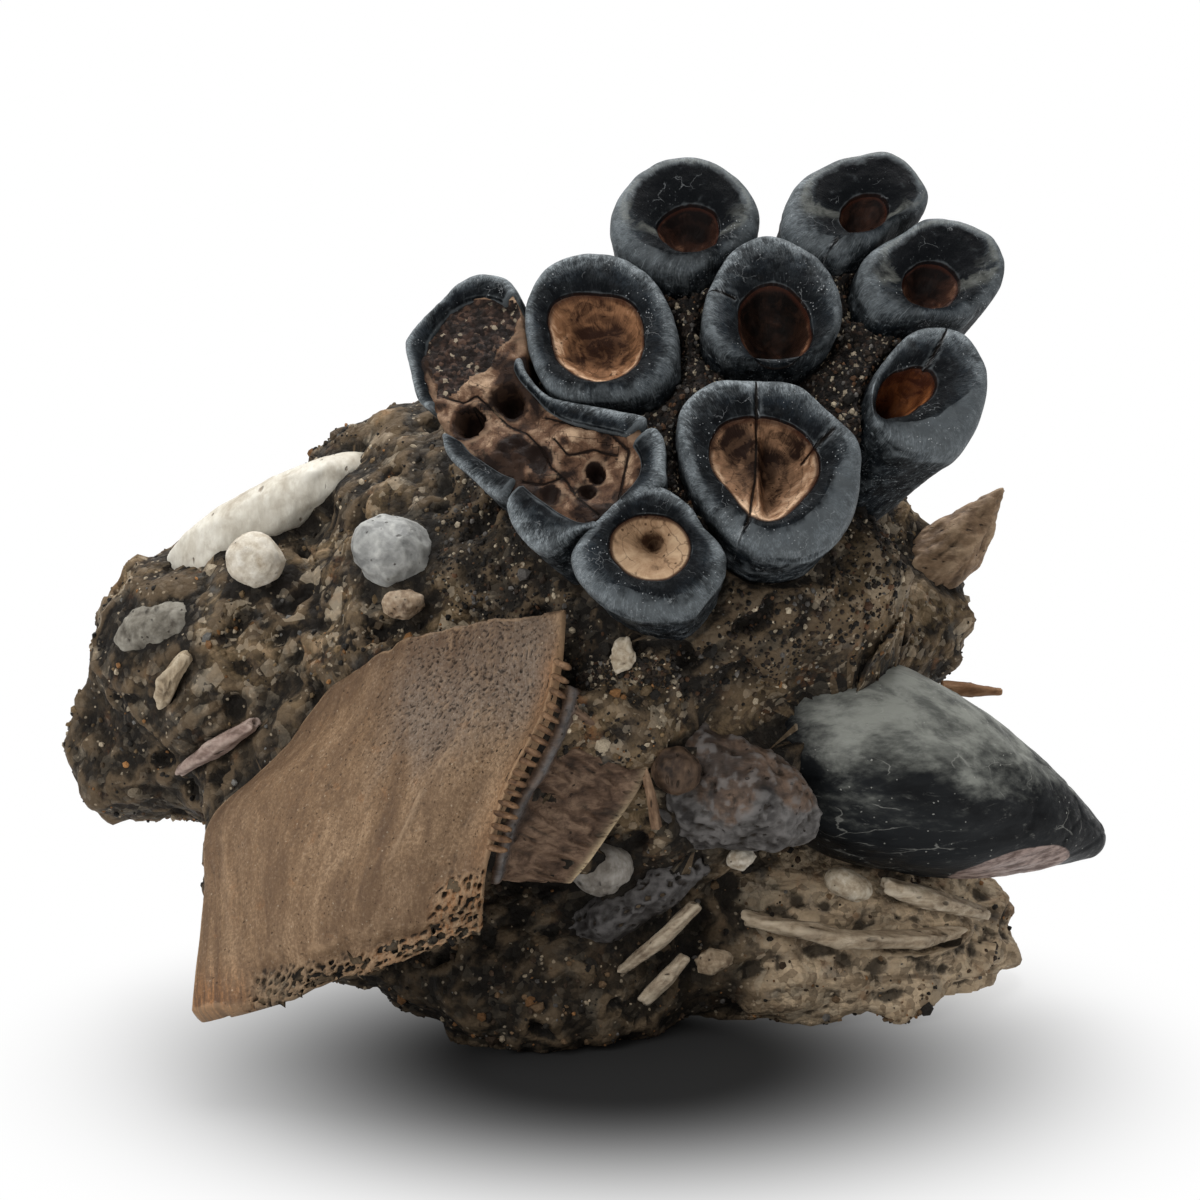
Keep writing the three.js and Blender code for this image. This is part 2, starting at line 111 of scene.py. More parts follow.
# ---- rows of numbers, and repeatable noise over points in millimetres ----


def columns(*parts: Union[Array, float]) -> Array:
    """Puts columns side by side, each of them rows of numbers or one number for every row."""
    rows = max(len(part) for part in parts if np.ndim(part))
    return np.column_stack([part if np.ndim(part) else np.full(rows, part) for part in parts])


def lengths(rows: Array) -> Array:
    """The length of each row."""
    return np.linalg.norm(rows, axis=1)


def directions(rows: Array) -> Array:
    """Each row made 1 long."""
    return rows / lengths(rows)[:, None]


def hump(off: Array, width: float) -> Array:
    """A smooth hump: 1 where off is 0, and next to nothing beyond twice its width."""
    return np.exp(-((off / width) ** 2))


def lattice(cell: Array, seed: int) -> Array:
    """A repeatable number for each whole-number cell.

    Args:
        cell: whole numbers, shape (..., 3).
        seed: picks one of many patterns.

    Returns:
        Numbers from 0 to 1, shape (...).
    """
    whole = cell.astype(np.int64).astype(np.uint32)
    mixed = whole[..., 0] * np.uint32(0x8DA6B343)
    mixed = mixed ^ (whole[..., 1] * np.uint32(0xD8163841))
    mixed = mixed ^ (whole[..., 2] * np.uint32(0xCB1AB31F))
    mixed = mixed ^ np.uint32((seed * 0x9E3779B9 + 0x7F4A7C15) & 0xFFFFFFFF)
    for shift, factor in ((15, 0x2C1B3C6D), (12, 0x297A2D39)):
        mixed = (mixed ^ (mixed >> np.uint32(shift))) * np.uint32(factor)
    return (mixed ^ (mixed >> np.uint32(15))) / 4294967296.0


def smooth_noise(points: Array, wave: float, seed: int = 0) -> Array:
    """Smooth noise from -1 to 1 at points, with lumps about a wave across.

    Args:
        points: places, shape (n, 3).
        wave: the size of the lumps.
        seed: picks one of many patterns.

    Returns:
        The noise, shape (n,).
    """
    scaled = points / wave
    base = np.floor(scaled)
    share = scaled - base
    share = share * share * (3 - 2 * share)
    total = np.zeros(len(points))
    for corner in product((0, 1), repeat=3):
        weight = np.prod(np.where(np.array(corner) == 1, share, 1 - share), axis=1)
        total += weight * lattice(base + corner, seed)
    return 2 * total - 1


def fractal(points: Array, wave: float, octaves: int = 4, seed: int = 0, gain: float = 0.5) -> Array:
    """Noise of several sizes added together, each half as long as the one before.

    Args:
        points: places, shape (n, 3).
        wave: the size of the largest lumps.
        octaves: how many sizes there are.
        seed: picks one of many patterns.
        gain: the height of each size as a share of the one before.

    Returns:
        The noise, about -1 to 1, shape (n,).
    """
    total, height, most = np.zeros(len(points)), 1.0, 0.0
    for k in range(octaves):
        total += height * smooth_noise(points, wave / 2**k, seed + 17 * k)
        most += height
        height *= gain
    return total / most * 1.4


def cells(points: Array, size: float, seed: int = 0) -> tuple[Array, Array, Array]:
    """The pattern of touching stones: how far each point is from the middle of its stone.

    Args:
        points: places, shape (n, 3).
        size: about how wide a stone is.
        seed: picks one of many patterns.

    Returns:
        The distance to the nearest and second nearest middle in sizes, and a number from 0 to 1 for
        the nearest stone, each of shape (n,).
    """
    scaled = points / size
    base = np.floor(scaled)
    first = np.full(len(points), 9.0)
    second = np.full(len(points), 9.0)
    name = np.zeros(len(points))
    for step in product((-1, 0, 1), repeat=3):
        cell = base + step
        middle = cell + np.stack([lattice(cell, seed + k) for k in (1, 2, 3)], axis=1)
        distance = lengths(scaled - middle)
        closer = distance < first
        second = np.where(closer, first, np.minimum(second, distance))
        name = np.where(closer, lattice(cell, seed + 4), name)
        first = np.where(closer, distance, first)
    return first, second, name


def ease(value: Array, low: float, high: float) -> Array:
    """A smooth step from 0 below low to 1 above high."""
    share = np.clip((value - low) / (high - low), 0, 1)
    return share * share * (3 - 2 * share)


def window(angle: Array, middle: float, half: float) -> Array:
    """A smooth bump over angles in degrees: 1 at the middle, 0 beyond half to either side."""
    off = np.abs((angle - middle + 180) % 360 - 180)
    return 1 - ease(off, 0.25 * half, half)


# ---- outlines and lines ----


# What a mesh stores as `crack` where it is far from any crack.
NO_CRACK = 9.0


def spline(before: Array, start: Array, end: Array, after: Array, share: Array) -> Array:
    """The smooth curve between start and end, at a share of the way.

    Args:
        before: the value before the start.
        start: the value at the start.
        end: the value at the end.
        after: the value after the end.
        share: how far along, from 0 to 1.

    Returns:
        The values there.
    """
    cubic = 3 * (start - end) + after - before
    square = 2 * before - 5 * start + 4 * end - after
    return start + 0.5 * share * (end - before + share * (square + share * cubic))


def read_ring(values: Sequence[float], angle: Array) -> Array:
    """Reads a closed row of values, given at even turns, at any angle in radians.

    Args:
        values: the row, at even turns from angle 0.
        angle: where to read, shape (n,).

    Returns:
        What is there, shape (n,).
    """
    row = np.asarray(values, float)
    turn = (angle / (2 * math.pi)) % 1 * len(row)
    k = np.floor(turn).astype(int) % len(row)
    at = [row[(k + step) % len(row)] for step in (-1, 0, 1, 2)]
    return spline(*at, turn - np.floor(turn))


def read_row(values: Array, share: Array) -> Array:
    """Reads an evenly spaced row of values or points at a share of its length.

    Args:
        values: the row, shape (k,) or (k, d).
        share: where to read, from 0 to 1, shape (n,).

    Returns:
        What is there, shape (n,) or (n, d).
    """
    row = np.asarray(values, float)
    place = np.clip(share, 0, 1) * (len(row) - 1)
    k = np.minimum(place.astype(int), len(row) - 2)
    at = [row[np.clip(k + step, 0, len(row) - 1)] for step in (-1, 0, 1, 2)]
    part = place - k
    return spline(*at, part[:, None] if row.ndim > 1 else part)


def read_net(net: Sequence[Sequence[Point3]], across: Array, down: Array) -> Array:
    """Reads a net of points smoothly, across its rows and down from row to row.

    Args:
        net: rows of points.
        across: the place along the rows, from 0 to 1, shape (n,).
        down: the place from the first row to the last, from 0 to 1, shape (n,).

    Returns:
        The points there, shape (n, 3).
    """
    rows = np.stack([read_row(np.asarray(row, float), across) for row in net])
    place = np.clip(down, 0, 1) * (len(net) - 1)
    k = np.minimum(place.astype(int), len(net) - 2)
    each = np.arange(len(down))
    at = [rows[np.clip(k + step, 0, len(net) - 1), each] for step in (-1, 0, 1, 2)]
    return spline(*at, (place - k)[:, None])


def even_line(points: Sequence[Point2], count: int, closed: bool = False) -> Array:
    """A smooth line through points, cut into equal steps.

    Args:
        points: the points that it passes through.
        count: how many points to give.
        closed: whether it comes back to its start.

    Returns:
        Points along the line, shape (count, 2).
    """
    row = np.asarray(points, float)
    share = np.linspace(0, 1, 40 * len(row))
    if closed:
        fine = np.stack([read_ring(row[:, k], share * 2 * math.pi) for k in (0, 1)], axis=1)
    else:
        fine = read_row(row, share)
    length = np.concatenate([[0], np.cumsum(lengths(np.diff(fine, axis=0)))])
    ends = np.linspace(0, length[-1], count, endpoint=not closed)
    return np.stack([np.interp(ends, length, fine[:, k]) for k in (0, 1)], axis=1)


def within(outline: Array, points: Array) -> Array:
    """Whether each point lies inside a closed outline, both in the plane.

    Args:
        outline: the outline, shape (k, 2).
        points: the points, shape (n, 2).

    Returns:
        True for each point inside.
    """
    inside = np.zeros(len(points), bool)
    for (ax, ay), (bx, by) in zip(outline, np.roll(outline, -1, axis=0)):
        crosses = (ay > points[:, 1]) != (by > points[:, 1])
        reach = (bx - ax) * (points[:, 1] - ay) / (by - ay + 1e-12) + ax
        inside ^= crosses & (points[:, 0] < reach)
    return inside


def line_distance(points: Array, line: Array, closed: bool = False) -> tuple[Array, Array]:
    """The distance from points to a line of straight pieces, and the nearest places on it.

    Args:
        points: the points, shape (n, 2).
        line: the ends of the pieces, shape (k, 2).
        closed: whether the last end is joined to the first.

    Returns:
        The distances, shape (n,), and the nearest places, shape (n, 2).
    """
    line = np.vstack([line, line[:1]]) if closed else line
    best = np.full(len(points), 1e9)
    nearest = np.zeros((len(points), 2))
    for start, end in zip(line[:-1], line[1:]):
        run = end - start
        share = np.clip(((points - start) @ run) / max(run @ run, 1e-12), 0, 1)
        place = start + share[:, None] * run
        distance = lengths(points - place)
        closer = distance < best
        best[closer] = distance[closer]
        nearest[closer] = place[closer]
    return best, nearest


def depth_inside(points: Array, outline: Array) -> Array:
    """How far points lie inside a closed outline, below 0 outside it."""
    distance, _ = line_distance(points, outline, closed=True)
    return np.where(within(outline, points), distance, -distance)


def crack_side(points: Array, cracks: Lines) -> Array:
    """The distance from points to the nearest crack, below 0 on one of its sides.

    It passes through 0 along the crack and nowhere else, so a finish can draw a line much thinner
    than the mesh. Past a crack's ends it grows quickly.

    Args:
        points: the points, shape (n, 2).
        cracks: lines of points.

    Returns:
        The distances, shape (n,).
    """
    result = np.full(len(points), NO_CRACK)
    for crack in cracks:
        line = np.asarray(crack, float)
        value = np.full(len(points), 99.0)
        for k, (start, end) in enumerate(zip(line[:-1], line[1:])):
            run = end - start
            length = float(np.linalg.norm(run))
            off = points - start
            along = (off @ run) / length
            side = (run[0] * off[:, 1] - run[1] * off[:, 0]) / length
            before, after = np.maximum(-along, 0), np.maximum(along - length, 0)
            past = before * (k == 0) + after * (k == len(line) - 2)
            reach = np.where(past > 0, np.abs(side) + 4 * past, np.hypot(side, before + after))
            signed = np.where(side < 0, -reach, reach)
            value = np.where(np.abs(signed) < np.abs(value), signed, value)
        result = np.where(np.abs(value) < np.abs(result), value, result)
    return result


# ---- meshes ----


@contextmanager
def editing(mesh: Mesh) -> Iterator[bmesh.types.BMesh]:
    """Opens a mesh as a bmesh, which is written back at the end.

    Args:
        mesh: the mesh to change.
    """
    bm = bmesh.new()
    bm.from_mesh(mesh)
    yield bm
    bm.to_mesh(mesh)
    bm.free()


def pour(source: bmesh.types.BMesh, into: bmesh.types.BMesh) -> None:
    """Adds what one bmesh holds to another, and frees the first.

    Args:
        source: the bmesh to add.
        into: the bmesh that takes it in.
    """
    part = bpy.data.meshes.new("part")
    source.to_mesh(part)
    source.free()
    into.from_mesh(part)
    bpy.data.meshes.remove(part)


def placed(name: str, data: bpy.types.ID) -> Piece:
    """Puts a mesh, a light or a camera in the scene.

    Args:
        name: the object's name.
        data: the mesh, light or camera.

    Returns:
        The object.
    """
    holder = bpy.data.objects.new(name, data)
    bpy.context.scene.collection.objects.link(holder)
    return holder


def points_of(mesh: Mesh) -> Array:
    """A mesh's points in millimetres, shape (n, 3)."""
    flat = np.empty(len(mesh.vertices) * 3, np.float32)
    mesh.vertices.foreach_get("co", flat)
    return flat.reshape(-1, 3).astype(float) / MM


def move_points(mesh: Mesh, points: Array) -> None:
    """Puts a mesh's points at places in millimetres."""
    mesh.vertices.foreach_set("co", (points * MM).astype(np.float32).ravel())
    mesh.update()


def normals_of(mesh: Mesh) -> Array:
    """A mesh's outward directions at its points, shape (n, 3)."""
    flat = np.empty(len(mesh.vertices) * 3, np.float32)
    mesh.vertex_normals.foreach_get("vector", flat)
    return flat.reshape(-1, 3).astype(float)


def edges_of(mesh: Mesh) -> Array:
    """A mesh's edges as pairs of point numbers in rising order, shape (m, 2)."""
    flat = np.empty(len(mesh.edges) * 2, np.int32)
    mesh.edges.foreach_get("vertices", flat)
    return np.unique(np.sort(flat.reshape(-1, 2), axis=1), axis=0)


def neighbour_mean(edges: Array, values: Array) -> Array:
    """The mean of each point's neighbours, for values of shape (n, d).

    Args:
        edges: pairs of points that are each other's neighbours.
        values: the values, shape (n, d).

    Returns:
        The means, shape (n, d).
    """
    count = np.bincount(edges.ravel(), minlength=len(values))
    total = np.empty_like(values)
    for k in range(values.shape[1]):
        column = np.bincount(edges[:, 0], values[edges[:, 1], k], len(values))
        total[:, k] = column + np.bincount(edges[:, 1], values[edges[:, 0], k], len(values))
    return total / np.maximum(count, 1)[:, None]


def smoothed(edges: Array, points: Array, rounds: int, share: float = 0.5) -> Array:
    """Points drawn towards their neighbours a number of times.

    Args:
        edges: pairs of neighbouring points.
        points: places or other values, shape (n, d).
        rounds: how many times.
        share: how far they go each time.

    Returns:
        The new places.
    """
    for _ in range(rounds):
        points = points + share * (neighbour_mean(edges, points) - points)
    return points


def paint(mesh: Mesh, name: str, values: Array) -> None:
    """Stores a number, a vector or a colour at each point of a mesh.

    Args:
        mesh: the mesh.
        name: what the materials read it by.
        values: one row for each point.
    """
    kinds = {1: ("FLOAT", "value"), 3: ("FLOAT_VECTOR", "vector"), 4: ("FLOAT_COLOR", "color")}
    kind, key = kinds[values.size // len(values)]
    layer = mesh.attributes.new(name, kind, "POINT")
    layer.data.foreach_set(key, values.astype(np.float32).ravel())


def stored(mesh: Mesh, name: str) -> Array:
    """The number that a mesh stores at each point under a name.

    Args:
        mesh: the mesh.
        name: what it was painted as.

    Returns:
        The numbers, shape (n,).
    """
    flat = np.empty(len(mesh.vertices), np.float32)
    mesh.attributes[name].data.foreach_get("value", flat)
    return flat


def paint_hollows(mesh: Mesh, rounds: int = 8) -> Array:
    """Stores as `hollow` how far each point lies below its surroundings, in millimetres.

    Args:
        mesh: a mesh in its final shape.
        rounds: how wide the surroundings are, in rings of neighbours.

    Returns:
        The same numbers: above 0 in a hollow and below 0 on a crest.
    """
    points = points_of(mesh)
    around = smoothed(edges_of(mesh), points, rounds, 0.8)
    depth = np.einsum("ij,ij->i", around - points, normals_of(mesh))
    paint(mesh, "hollow", depth)
    return depth


def flat_grid(name: str, across: int, along: int) -> tuple[Mesh, Array, Array]:
    """A square grid of faces to be wrapped into a shape.

    Args:
        name: the mesh's name.
        across: how many faces it has one way.
        along: how many faces it has the other way.

    Returns:
        The mesh, and each point's place across and along, from 0 to 1.
    """
    mesh = bpy.data.meshes.new(name)
    with editing(mesh) as bm:
        bmesh.ops.create_grid(bm, x_segments=across, y_segments=along, size=1.0)
    flat = points_of(mesh) * MM
    return mesh, np.round((flat[:, 0] + 1) / 2, 7), np.round((flat[:, 1] + 1) / 2, 7)


def in_order(mesh: Mesh) -> Mesh:
    """Lists a mesh's faces by their points, because an extrusion leaves them in no fixed order.

    Args:
        mesh: the mesh, which is rebuilt.

    Returns:
        The same mesh.
    """
    faces = []
    for face in mesh.polygons:
        ends = list(face.vertices)
        start = ends.index(min(ends))
        faces.append(tuple(ends[start:] + ends[:start]))
    points = points_of(mesh) * MM
    mesh.clear_geometry()
    mesh.from_pydata(points.tolist(), [], sorted(faces))
    return mesh


def close_up(mesh: Mesh, distance: float = 0.002) -> None:
    """Joins a wrapped mesh's seam and poles, and turns its faces outwards.

    Args:
        mesh: the mesh.
        distance: how near points are joined, in millimetres.
    """
    with editing(mesh) as bm:
        bmesh.ops.remove_doubles(bm, verts=bm.verts[:], dist=distance * MM)
        bmesh.ops.dissolve_degenerate(bm, edges=bm.edges[:], dist=1e-7)
        bmesh.ops.recalc_face_normals(bm, faces=bm.faces[:])
    mesh.update()


def solid_copy(node: str) -> bmesh.types.BMesh:
    """A CAD node's shape with its points joined, as a bmesh in metres.

    Args:
        node: the node's name.

    Returns:
        The copy.
    """
    bm = bmesh.new()
    bm.from_mesh(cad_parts[node].data)
    bmesh.ops.remove_doubles(bm, verts=bm.verts[:], dist=2e-6)
    bmesh.ops.dissolve_degenerate(bm, edges=bm.edges[:], dist=1e-7)
    return bm


def remeshed(name: str, source: bmesh.types.BMesh, voxel: float) -> Mesh:
    """A closed skin of even faces over one or more closed shapes.

    Args:
        name: the new mesh's name.
        source: the closed shapes, which may run into each other. It is freed.
        voxel: the size of a face in millimetres.

    Returns:
        The largest closed skin.
    """
    rough = bpy.data.meshes.new(f"{name}_rough")
    source.to_mesh(rough)
    source.free()
    holder = placed(f"{name}_rough", rough)
    remesh = holder.modifiers.new("skin", "REMESH")
    remesh.mode = "VOXEL"
    remesh.voxel_size = voxel * MM
    evaluated = holder.evaluated_get(bpy.context.evaluated_depsgraph_get())
    mesh = bpy.data.meshes.new_from_object(evaluated)
    mesh.name = name
    bpy.data.objects.remove(holder)
    bpy.data.meshes.remove(rough)
    mesh.materials.clear()
    for layer in list(mesh.uv_layers):
        mesh.uv_layers.remove(layer)
    keep_largest(mesh)
    return mesh


def keep_largest(mesh: Mesh) -> None:
    """Removes every loose part of a mesh but its largest.

    Args:
        mesh: the mesh.
    """
    edges = edges_of(mesh)
    label = np.arange(len(mesh.vertices))
    while True:
        least = np.minimum(label[edges[:, 0]], label[edges[:, 1]])
        fresh = label.copy()
        np.minimum.at(fresh, edges[:, 0], least)
        np.minimum.at(fresh, edges[:, 1], least)
        fresh = fresh[fresh]
        if np.array_equal(fresh, label):
            break
        label = fresh
    loose = np.flatnonzero(label != np.bincount(label).argmax())
    with editing(mesh) as bm:
        bm.verts.ensure_lookup_table()
        bmesh.ops.delete(bm, geom=[bm.verts[i] for i in loose], context="VERTS")


def shown(mesh: Mesh, name: str, slot: Slot, nodes: Sequence[str], *finishes: Material,
          smooth: bool = True) -> Piece:
    """Makes an object of a finished mesh, and tells the frame what it stands for.

    Args:
        mesh: the finished mesh, in its place.
        name: the piece's name.
        slot: the record's slot for its finish, which is not used.
        nodes: the CAD nodes that it replaces.
        finishes: its materials, in order.
        smooth: whether its faces are shaded as one surface.

    Returns:
        The object.
    """
    mesh.name = name
    for finish in finishes:
        mesh.materials.append(finish)
    mesh.polygons.foreach_set("use_smooth", np.full(len(mesh.polygons), smooth))
    piece = placed(name, mesh)
    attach(piece, "root")
    if nodes:
        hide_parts(*nodes)
    span = " x ".join(f"{extent:.1f}" for extent in np.ptp(points_of(mesh), axis=0))
    log.info("%s: %d faces, %s mm", name, len(mesh.polygons), span)
    return piece


# ---- shading: a short way to write node trees ----


class Graph:
    """A node tree being written: each method adds a node and gives the socket that comes out of it."""

    def __init__(self, tree: bpy.types.NodeTree) -> None:
        """Starts writing in a tree."""
        self.tree = tree

    def add(self, kind: str, inputs: Optional[dict] = None, **settings: object) -> bpy.types.Node:
        """Adds a node of a kind, with its inputs by name or number, and its settings.

        Args:
            kind: the kind of shader node.
            inputs: sockets or values to feed it.
            settings: its properties.

        Returns:
            The node.
        """
        node = self.tree.nodes.new(f"ShaderNode{kind}")
        for key, value in settings.items():
            setattr(node, key, value)
        for key, value in (inputs or {}).items():
            self.feed(node.inputs[key], value)
        return node

    def feed(self, socket: Socket, value: Input) -> None:
        """Links a socket to an input, or sets it to a value.

        Args:
            socket: the socket to feed.
            value: a socket, a number or a row of numbers.
        """
        if isinstance(value, bpy.types.NodeSocket):
            self.tree.links.new(value, socket)
        else:
            socket.default_value = (*value, 1.0) if socket.type == "RGBA" else value

    def place(self) -> Socket:
        """Where a point of the object is, in metres."""
        return self.add("TexCoord").outputs["Object"]

    def attribute(self, name: str, output: str = "Fac") -> Socket:
        """What a mesh stores at its points under a name."""
        return self.add("Attribute", attribute_name=name).outputs[output]

    def mapping(self, vector: Socket, scale: Point3 = (1, 1, 1), turn: Point3 = (0, 0, 0)) -> Socket:
        """A pattern's place, turned by degrees and stretched."""
        angles = [math.radians(angle) for angle in turn]
        return self.add("Mapping", {"Vector": vector, "Scale": scale, "Rotation": angles}).outputs[0]

    def noise(self, vector: Socket, scale: Input, detail: float = 4, rough: float = 0.5,
              warp: float = 0, output: str = "Fac") -> Socket:
        """Cloudy noise about 0.5."""
        given = {"Vector": vector, "Scale": scale, "Detail": detail, "Roughness": rough, "Distortion": warp}
        return self.add("TexNoise", given).outputs[output]

    def stones(self, vector: Socket, scale: Input, output: str = "Distance", feature: str = "F1") -> Socket:
        """The pattern of touching cells."""
        return self.add("TexVoronoi", {"Vector": vector, "Scale": scale}, feature=feature).outputs[output]

    def math(self, operation: str, a: Input, b: Input = 0.0, c: Input = 0.0, clamp: bool = False) -> Socket:
        """An operation on numbers."""
        return self.add("Math", {0: a, 1: b, 2: c}, operation=operation, use_clamp=clamp).outputs[0]

    def times(self, a: Input, b: Input, plus: Optional[Input] = None) -> Socket:
        """A product of two numbers, plus a third."""
        return self.math("MULTIPLY", a, b) if plus is None else self.math("MULTIPLY_ADD", a, b, plus)

    def less(self, a: Input, b: Input) -> Socket:
        """A number less another."""
        return self.math("SUBTRACT", a, b)

    def step(self, value: Input, low: Input, high: Input, to: Point2 = (0.0, 1.0)) -> Socket:
        """A smooth step as a value goes from low to high."""
        given = zip(("Value", "From Min", "From Max", "To Min", "To Max"), (value, low, high, *to))
        return self.add("MapRange", dict(given), interpolation_type="SMOOTHSTEP").outputs[0]

    def mix(self, share: Input, a: Input, b: Input) -> Socket:
        """A mix of two colours, which are inputs 6 and 7 and output 2 of its node."""
        return self.add("Mix", {0: share, 6: a, 7: b}, data_type="RGBA", clamp_factor=True).outputs[2]

    def moved(self, vector: Socket, amount: float, scale: Input, detail: float = 2) -> Socket:
        """A place shifted about by noise, so that a pattern on it wanders.

        Args:
            vector: the place.
            amount: how far it may wander, in metres.
            scale: the noise's scale.
            detail: the noise's detail.

        Returns:
            The shifted place.
        """
        cloud = self.noise(vector, scale, detail, output="Color")
        given = {0: cloud, 1: (amount,) * 3, 2: vector}
        return self.add("VectorMath", given, operation="MULTIPLY_ADD").outputs[0]

    def use(self, effect: str, *inputs: Input) -> bpy.types.Node:
        """Places a shared effect, with its inputs in order."""
        return self.add("Group", dict(enumerate(inputs)), node_tree=EFFECTS[effect])

    def mask(self, effect: str, *inputs: Input) -> Socket:
        """The mask of a shared effect."""
        return self.use(effect, *inputs).outputs["Mask"]


class Surface(Graph):
    """A material being written, with its own shader and the colour laid on so far."""

    def __init__(self, name: str, roughness: float, specular: float) -> None:
        """Makes a material with one Principled shader.

        Args:
            name: the material's name.
            roughness: the shader's own roughness.
            specular: the shader's own specular level.
        """
        self.material = bpy.data.materials.new(name)
        self.material.use_nodes = True
        super().__init__(self.material.node_tree)
        self.tree.nodes.clear()
        self.colour: Input = (0.0, 0.0, 0.0)
        self.shader = self.add("BsdfPrincipled", {"Roughness": roughness, "Specular IOR Level": specular})
        self.output = self.add("OutputMaterial", {"Surface": self.shader.outputs["BSDF"]})

    def tint(self, colour: Input, mask: Input, strength: Optional[float] = None) -> None:
        """Lays a colour over what is there, where a mask is 1."""
        share = mask if strength is None else self.times(mask, strength)
        self.colour = self.mix(share, self.colour, colour)

    def dust(self, place: Socket, depth: float, scale: float) -> list[Socket]:
        """The dirt and painted shade in hollows and the wear on crests, as two masks."""
        return self.use("dust", place, self.attribute("hollow"), depth, scale).outputs[:]

    def finish(self, height: Input, depth: float, roughness: Input) -> Material:
        """Connects the colour laid on so far, the relief and the roughness.

        Args:
            height: the fine relief, from about 0 to 1.
            depth: how many millimetres a height of 1 stands for.
            roughness: the roughness over the surface.

        Returns:
            The material.
        """
        bump = self.add("Bump", {"Strength": 1.0, "Distance": depth * MM, "Height": height})
        given = {"Base Color": self.colour, "Roughness": roughness, "Normal": bump.outputs["Normal"]}
        for key, value in given.items():
            self.feed(self.shader.inputs[key], value)
        return self.material


def new_group(name: str, *outputs: str, **inputs: float) -> tuple[Graph, list[Socket], list[Socket]]:
    """Starts a shader node group that reads a place and some numbers and gives numbers.

    Args:
        name: the group's name.
        outputs: the names of its outputs.
        inputs: its number inputs and their values, after its input for the place.

    Returns:
        A graph to write it in, the sockets that it reads and those that it gives.
    """
    tree = bpy.data.node_groups.new(name, "ShaderNodeTree")
    tree.interface.new_socket("Place", in_out="INPUT", socket_type="NodeSocketVector")
    for key, value in inputs.items():
        tree.interface.new_socket(key, in_out="INPUT", socket_type="NodeSocketFloat").default_value = value
    for key in outputs:
        tree.interface.new_socket(key, in_out="OUTPUT", socket_type="NodeSocketFloat")
    given, wanted = tree.nodes.new("NodeGroupInput").outputs, tree.nodes.new("NodeGroupOutput").inputs
    return Graph(tree), given[:-1], wanted[:-1]


def mottle() -> bpy.types.NodeTree:
    """Soft patches: a mask that is 1 in a share of the surface.

    Returns:
        The node group.
    """
    graph, (place, scale, share, softness), wanted = new_group(
        "mottle", "Mask", Scale=300, Share=0.5, Softness=0.15)
    cloud = graph.noise(graph.moved(place, 0.0012, graph.times(scale, 1.7)), scale, 5, 0.6)
    turned = graph.less(1.0, graph.times(share, 0.5, 0.25))
    low, high = graph.less(turned, softness), graph.math("ADD", turned, softness)
    graph.feed(wanted[0], graph.step(cloud, low, high))
    return graph.tree


def spots(graph: Graph, place: Socket, scale: Input, share: Input, small: Input, size: Input) -> Socket:
    """Separate spots in a share of a pattern's cells: 1 within a small distance, 0 beyond a size.

    Args:
        graph: the graph to write in.
        place: the place.
        scale: the cells' scale.
        share: the share of the cells that have a spot.
        small: how far a spot is whole.
        size: how far it reaches.

    Returns:
        The mask.
    """
    split = graph.add("SeparateColor", {0: graph.stones(place, scale, "Color")})
    lucky = graph.math("LESS_THAN", split.outputs[0], share)
    return graph.times(lucky, graph.less(1.0, graph.step(graph.stones(place, scale), small, size)))


def specks() -> bpy.types.NodeTree:
    """Small separate specks: a mask that is 1 in each speck.

    Returns:
        The node group.
    """
    graph, (place, scale, share, size), wanted = new_group("specks", "Mask", Scale=1500, Share=0.1, Size=0.3)
    wander = graph.moved(place, 0.0003, graph.times(scale, 1.3))
    graph.feed(wanted[0], spots(graph, wander, scale, share, graph.times(size, 0.6), size))
    return graph.tree


def hairlines() -> bpy.types.NodeTree:
    """Hair-thin cracks that branch: a mask that is 1 along each, in a share of the surface.

    Returns:
        The node group.
    """
    graph, (place, scale, width, share), wanted = new_group(
        "hairlines", "Mask", Scale=250, Width=0.02, Share=0.4)
    wander = graph.moved(place, 0.0022, graph.times(scale, 2.0), 4)
    edge = graph.stones(wander, scale, feature="DISTANCE_TO_EDGE")
    cloud = graph.noise(place, graph.times(scale, 0.7), 2)
    turned = graph.less(1.0, graph.times(share, 0.5, 0.25))
    there = graph.step(cloud, turned, graph.math("ADD", turned, 0.05))
    graph.feed(wanted[0], graph.times(graph.less(1.0, graph.step(edge, 0.0, width)), there))
    return graph.tree


def dust() -> bpy.types.NodeTree:
    """Dirt and painted shade in hollows, and wear on crests, from the depth that a mesh stores.

    Returns:
        The node group.
    """
    graph, (place, hollow, depth, scale), wanted = new_group(
        "dust", "Dirt", "Wear", Hollow=0, Depth=0.15, Scale=900)
    uneven = graph.times(graph.less(graph.noise(place, scale, 5, 0.6), 0.5), depth)
    level = graph.math("ADD", hollow, graph.times(uneven, 1.5))
    least = graph.times(depth, 0.1)
    for socket, height in zip(wanted, (level, graph.times(level, -1.0))):
        graph.feed(socket, graph.step(height, least, depth))
    return graph.tree


def grains() -> bpy.types.NodeTree:
    """Packed sand grains: each grain's own number, and their relief.

    Returns:
        The node group.
    """
    graph, (place, scale), wanted = new_group("grains", "Grain", "Height", Scale=1200)
    wander = graph.moved(place, 0.0004, graph.times(scale, 1.5))
    split = graph.add("SeparateColor", {0: graph.stones(wander, scale, "Color")})
    fine = graph.noise(place, graph.times(scale, 3.0), 4, 0.6)
    lifted = graph.times(split.outputs[1], 0.5, graph.less(1.0, graph.stones(wander, scale)))
    graph.feed(wanted[0], split.outputs[0])
    graph.feed(wanted[1], graph.times(fine, 0.5, lifted))
    return graph.tree


